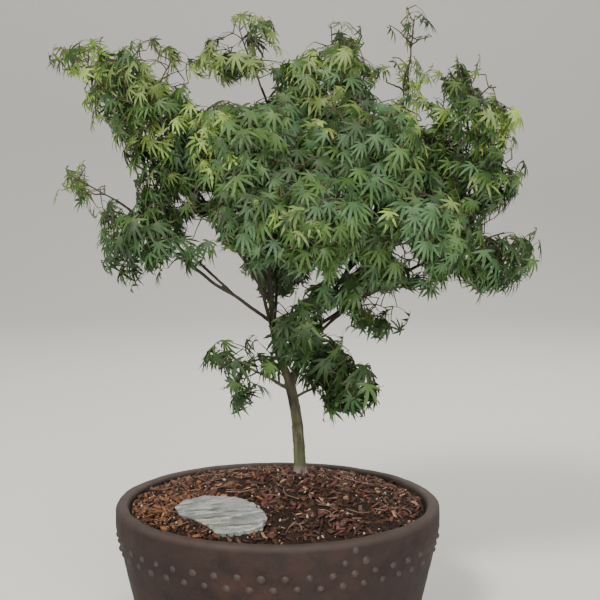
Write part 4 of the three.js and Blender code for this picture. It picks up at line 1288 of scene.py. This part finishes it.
# The plant's pieces.
def make_bark(settings, plant):
    limbs, stems = plant[0], plant[1]
    strands = []
    for name, limb in limbs.items():
        count = {"trunk": 40, "leader_left": 70, "leader_right": 70}.get(name, 26)
        spots, radii = limb.strand(0, 1, count)
        strands.append((spots + FOOT, radii))
    holder = linked(tubes("bark_raw", strands, 16), "bark_raw")
    remesh = holder.modifiers.new("voxels", "REMESH")
    remesh.mode = "VOXEL"
    remesh.voxel_size = BARK_VOXEL
    ease = holder.modifiers.new("ease", "SMOOTH")
    ease.factor = 0.5
    ease.iterations = 3
    mesh = baked(holder)
    spots = spots_of(mesh)
    height = spots[:, 2] - FOOT[2]
    lean = np.hypot(spots[:, 0] - FOOT[0], spots[:, 1] - FOOT[1])
    buttress = np.array([math.cos(3 * math.atan2(y - FOOT[1], x - FOOT[0]) + 0.6) for x, y, _ in spots])
    low = np.exp(-np.clip(height, 0, None) / 0.009) * (lean < 0.02)
    spots[:, :2] += (spots[:, :2] - FOOT[:2]) * (0.16 * buttress * low)[:, None]
    mesh.vertices.foreach_set("co", spots.ravel())
    mesh.update()
    thick = lambda at: np.clip(1.3 - (at[:, 2] - FOOT[2]) / 0.16, 0.35, 1.0)
    roughened(mesh, thick, (0.00055, (110, 110, 70)), (0.0004, (420, 420, 110)), (0.00022, (800, 800, 300)))
    bark = linked(mesh, "bark_limbs")
    smooth(bark.data)
    nodes = [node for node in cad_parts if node.startswith(("trunk", "leader_", "bough_"))]
    seated(bark, bark_material(settings.bark_color), "bark", *nodes)


def make_twigs(settings, plant):
    _, stems, twigs, sprays, leaves = plant
    strands = [(spots + FOOT, radii) for spots, radii in stems + twigs]
    wood = linked(tubes("twigs_main", strands, 8), "twigs_main")
    smooth(wood.data)
    material = twig_material(settings.twig_color)
    seated(wood, material, "bark")
    strands = [(spots + FOOT, radii) for spots, radii in sprays]
    fine = linked(tubes("twigs_fine", strands, 6), "twigs_fine")
    smooth(fine.data)
    seated(fine, material, "bark")
    strands = []
    for leaf in leaves:
        spots = np.array((leaf.root, leaf.bend, leaf.blade + leaf.ahead * leaf.length * 0.02))
        strands.append((spots + FOOT, (STALK_RADIUS, STALK_RADIUS * 0.8, STALK_RADIUS * 0.9)))
    stalks = linked(tubes("leaf_stalks", strands, 4), "leaf_stalks")
    seated(stalks, twig_material(settings.stalk_color), "bark")


def leaf_shape(lobes, droop, fold, twist):
    """A maple leaf with its base at the origin and its middle lobe, one unit long, along +X."""
    body = bmesh.new()
    base = body.verts.new((0, 0, 0))

    def corner(turn, along, across, lobe_turn):
        x = along * math.cos(lobe_turn) - across * math.sin(lobe_turn)
        y = along * math.sin(lobe_turn) + across * math.cos(lobe_turn)
        far = math.hypot(x, y)
        sag = droop * far**2 * (1 + 0.5 * abs(turn))
        return body.verts.new((x, y, fold * abs(across) - sag + twist * far * y))

    ordered = [(-turn, size) for turn, size in reversed(lobes[1:])] + list(lobes)
    turns = [math.radians(turn) for turn, _ in ordered]
    sizes = [size for _, size in ordered]
    ends = [turns[0] - 0.55] + [(a + b) / 2 for a, b in zip(turns, turns[1:])] + [turns[-1] + 0.55]
    depths = [0.5 * sizes[0]] + [(a + b) / 2 for a, b in zip(sizes, sizes[1:])] + [0.5 * sizes[-1]]
    sinuses = [corner(turn, SINUS * depth, 0, turn) for turn, depth in zip(ends, depths)]
    for index, (turn, size) in enumerate(zip(turns, sizes)):
        rib = [corner(turn, size * share, 0, turn) for share in LOBE_RIB]
        tip = corner(turn, size, 0, turn)
        for hand, sinus in ((-1, sinuses[index]), (1, sinuses[index + 1])):
            edge = [corner(turn, size * share, hand * wide * size**0.5, turn) for share, wide in LOBE_EDGE]
            faces = (
                (base, rib[0], sinus),
                (rib[0], rib[1], edge[1], edge[0], sinus),
                (rib[1], rib[2], edge[3], edge[2], edge[1]),
                (rib[2], tip, edge[3]),
            )
            for face in faces:
                body.faces.new(face if hand > 0 else face[::-1])
    return Shape(body)


def leaf_shapes():
    return [
        leaf_shape(SEVEN_LOBES, 0.10, 0.30, 0.0),
        leaf_shape(SEVEN_LOBES, 0.28, 0.45, 0.10),
        leaf_shape(HANGING_LOBES, 0.45, 0.40, -0.12),
        leaf_shape(SEVEN_LOBES, 0.36, 0.30, -0.08),
        leaf_shape(FIVE_LOBES, 0.24, 0.40, 0.08),
        leaf_shape(HANGING_LOBES, 0.60, 0.30, 0.10),
    ]


def make_leaves(settings, plant):
    shapes = leaf_shapes()
    leaves = plant[4]
    nodes = [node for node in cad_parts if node.startswith("leaves_")]
    for kind in LEAF_KINDS:
        placed = []
        for index, shape in enumerate(shapes):
            mine = [leaf for leaf in leaves if leaf.kind == kind and leaf.shape == index]
            placed.append((shape, [leaf.axes() for leaf in mine], [leaf.blade + FOOT for leaf in mine]))
        piece = linked(copies("leaves_" + kind, placed), "leaves_" + kind)
        seated(piece, leaf_material(kind, getattr(settings, kind)), "leaves", *(nodes if kind == "mid" else ()))


# The stage.
def make_floor(color):
    """A pale floor that curves up into a backdrop far behind."""
    profile = [(-4.0, 0), *arc((2.2, 1.2), 1.2, -90, 0, 24), (3.4, 5.0)]
    body = bmesh.new()
    corners = [body.verts.new((-6.0, y, z)) for y, z in profile]
    edges = [body.edges.new(pair) for pair in zip(corners, corners[1:])]
    drawn = bmesh.ops.extrude_edge_only(body, edges=edges)["geom"]
    bmesh.ops.translate(body, vec=(12.0, 0, 0), verts=[v for v in drawn if isinstance(v, bmesh.types.BMVert)])
    bmesh.ops.recalc_face_normals(body, faces=body.faces)
    floor = linked(body, "floor")
    smooth(floor.data)
    floor.data.materials.append(floor_material(color))
    floor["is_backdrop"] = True


def make_light(name, place, aim, size, power, color):
    lamp = bpy.data.lights.new(name, "AREA")
    lamp.shape = "DISK"
    lamp.size = size
    lamp.energy = power
    lamp.color = color
    holder = bpy.data.objects.new(name, lamp)
    holder.location = place
    holder.rotation_euler = (Vector(aim) - Vector(place)).to_track_quat("-Z", "Y").to_euler()
    bpy.context.scene.collection.objects.link(holder)


def make_camera():
    camera = bpy.data.objects.new("camera", bpy.data.cameras.new("camera"))
    camera.data.lens = CAMERA_LENS
    camera.data.sensor_width = SENSOR_WIDTH
    camera.data.clip_end = 50.0
    camera.location = CAMERA_PLACE
    camera.rotation_euler = (TURN / 4 - CAMERA_DIP, 0, 0)
    bpy.context.scene.collection.objects.link(camera)
    bpy.context.scene.camera = camera


def make_sky(strength):
    world = bpy.data.worlds.new("soft_sky")
    world.use_nodes = True
    background = world.node_tree.nodes["Background"]
    background.inputs["Color"].default_value = (1.0, 0.975, 0.91, 1.0)
    background.inputs["Strength"].default_value = strength
    bpy.context.scene.world = world


# What a user can change.
class MaplePotSettings(bpy.types.PropertyGroup):
    """Sizes and colours of the pot"""

    clay_color: FloatVectorProperty(
        name="Clay", description="Colour of the fired clay", default=(0.0265, 0.0112, 0.0078), subtype="COLOR"
    )


class MaplePlantSettings(bpy.types.PropertyGroup):
    """Sizes and colours of the plant"""

    leaf_length: FloatProperty(
        name="Leaf length", description="Length of a middle lobe", default=0.0214, unit="LENGTH"
    )
    spray_spacing: FloatProperty(
        name="Spray spacing", description="Least distance between two twig tips", default=0.0158, unit="LENGTH"
    )
    leaf_spacing: FloatProperty(
        name="Leaf spacing", description="Least distance between two leaves", default=0.0066, unit="LENGTH"
    )
    bark_color: FloatVectorProperty(
        name="Bark", description="Colour of the bark", default=(0.112, 0.097, 0.046), subtype="COLOR"
    )
    twig_color: FloatVectorProperty(
        name="Twigs", description="Colour of the twigs", default=(0.048, 0.034, 0.024), subtype="COLOR"
    )
    stalk_color: FloatVectorProperty(
        name="Stalks", description="Colour of the leaf stalks", default=(0.130, 0.100, 0.045), subtype="COLOR"
    )
    deep_painted_shade: FloatVectorProperty(
        name="Deep green", description="Leaves in the shade", default=(0.021, 0.054, 0.010), subtype="COLOR"
    )
    mid: FloatVectorProperty(
        name="Mid green", description="Most leaves", default=(0.055, 0.115, 0.022), subtype="COLOR"
    )
    cool: FloatVectorProperty(
        name="Cool green", description="Blue-green leaves", default=(0.054, 0.119, 0.043), subtype="COLOR"
    )
    fresh: FloatVectorProperty(
        name="Fresh green", description="Young leaves", default=(0.240, 0.368, 0.068), subtype="COLOR"
    )
    olive_painted_light: FloatVectorProperty(
        name="Olive green", description="Leaves in full light", default=(0.158, 0.226, 0.060), subtype="COLOR"
    )


class MapleStageSettings(bpy.types.PropertyGroup):
    """Light and floor"""

    floor_color: FloatVectorProperty(
        name="Floor", description="Colour of the floor", default=(0.86, 0.845, 0.82), subtype="COLOR"
    )
    sky_strength: FloatProperty(name="Sky", description="Strength of the soft sky", default=0.36)
    key_power: FloatProperty(name="Key light", description="Power of the main light", default=61.0, unit="POWER")


class MAPLE_OT_pot(bpy.types.Operator):
    """Turns the clay pot and sets its studs"""

    bl_idname = "maple.pot"
    bl_label = "Make Pot"

    def execute(self, context):
        make_pot(context.scene.maple_pot)
        return {"FINISHED"}


class MAPLE_OT_soil(bpy.types.Operator):
    """Heaps up the soil and strews mulch, crumbs and grit over it"""

    bl_idname = "maple.soil"
    bl_label = "Make Soil"

    def execute(self, context):
        make_mound()
        make_litter()
        return {"FINISHED"}


class MAPLE_OT_slate(bpy.types.Operator):
    """Lays the slate on the soil"""

    bl_idname = "maple.slate"
    bl_label = "Make Slate"

    def execute(self, context):
        make_slate()
        return {"FINISHED"}


def plant_of(settings):
    return grown(settings.leaf_length, settings.spray_spacing, settings.leaf_spacing)


class MAPLE_OT_bark(bpy.types.Operator):
    """Grows the trunk, leaders and boughs under rough bark"""

    bl_idname = "maple.bark"
    bl_label = "Make Bark"

    def execute(self, context):
        settings = context.scene.maple_plant
        make_bark(settings, plant_of(settings))
        return {"FINISHED"}


class MAPLE_OT_twigs(bpy.types.Operator):
    """Grows the stems, twigs and leaf stalks"""

    bl_idname = "maple.twigs"
    bl_label = "Make Twigs"

    def execute(self, context):
        settings = context.scene.maple_plant
        make_twigs(settings, plant_of(settings))
        return {"FINISHED"}


class MAPLE_OT_leaves(bpy.types.Operator):
    """Hangs the leaves, each green as a piece of its own"""

    bl_idname = "maple.leaves"
    bl_label = "Make Leaves"

    def execute(self, context):
        settings = context.scene.maple_plant
        make_leaves(settings, plant_of(settings))
        return {"FINISHED"}


class MAPLE_OT_stage(bpy.types.Operator):
    """Sets up the floor, the lights and the camera"""

    bl_idname = "maple.stage"
    bl_label = "Make Stage"

    def execute(self, context):
        settings = context.scene.maple_stage
        make_camera()
        make_floor(settings.floor_color)
        make_sky(settings.sky_strength)
        crown = (0, 0, 0.4)
        make_light("key", (-1.0, -1.6, 2.2), crown, 0.7, settings.key_power, (1.0, 0.97, 0.91))
        make_light("fill", (0.8, -2.1, 0.45), crown, 1.2, settings.key_power * 0.62, (1.0, 0.98, 0.94))
        make_light("back", (0.4, 1.5, 1.9), crown, 1.2, settings.key_power * 0.5, (1.0, 0.98, 0.94))
        return {"FINISHED"}


class MAPLE_PT_panel(bpy.types.Panel):
    """Lists the pieces and what can be changed on them"""

    bl_idname = "MAPLE_PT_panel"
    bl_label = "Potted Maple"
    bl_space_type = "VIEW_3D"
    bl_region_type = "UI"
    bl_category = "Maple"

    def draw(self, context):
        for group, steps in STEPS:
            box = self.layout.box()
            settings = getattr(context.scene, group)
            for name in settings.__annotations__:
                box.prop(settings, name)
            for step in steps:
                box.operator(step.bl_idname)


GROUPS = (
    ("maple_stage", MapleStageSettings),
    ("maple_pot", MaplePotSettings),
    ("maple_plant", MaplePlantSettings),
)
STEPS = (
    ("maple_stage", (MAPLE_OT_stage,)),
    ("maple_pot", (MAPLE_OT_pot, MAPLE_OT_soil, MAPLE_OT_slate)),
    ("maple_plant", (MAPLE_OT_bark, MAPLE_OT_twigs, MAPLE_OT_leaves)),
)
OPERATORS = tuple(step for _, steps in STEPS for step in steps)


def register():
    for name, group in GROUPS:
        bpy.utils.register_class(group)
        setattr(bpy.types.Scene, name, PointerProperty(type=group))
    for kind in (*OPERATORS, MAPLE_PT_panel):
        bpy.utils.register_class(kind)


def unregister():
    for kind in (MAPLE_PT_panel, *reversed(OPERATORS)):
        bpy.utils.unregister_class(kind)
    for name, group in reversed(GROUPS):
        delattr(bpy.types.Scene, name)
        bpy.utils.unregister_class(group)


def main():
    register()
    for step in OPERATORS:
        family, name = step.bl_idname.split(".")
        getattr(getattr(bpy.ops, family), name)()
    boxes = {"cad": CAD_BOX, "visual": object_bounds()}
    plain = {name: [[float(x) for x in corner] for corner in box] for name, box in boxes.items()}


if __name__ == "__main__":
    main()
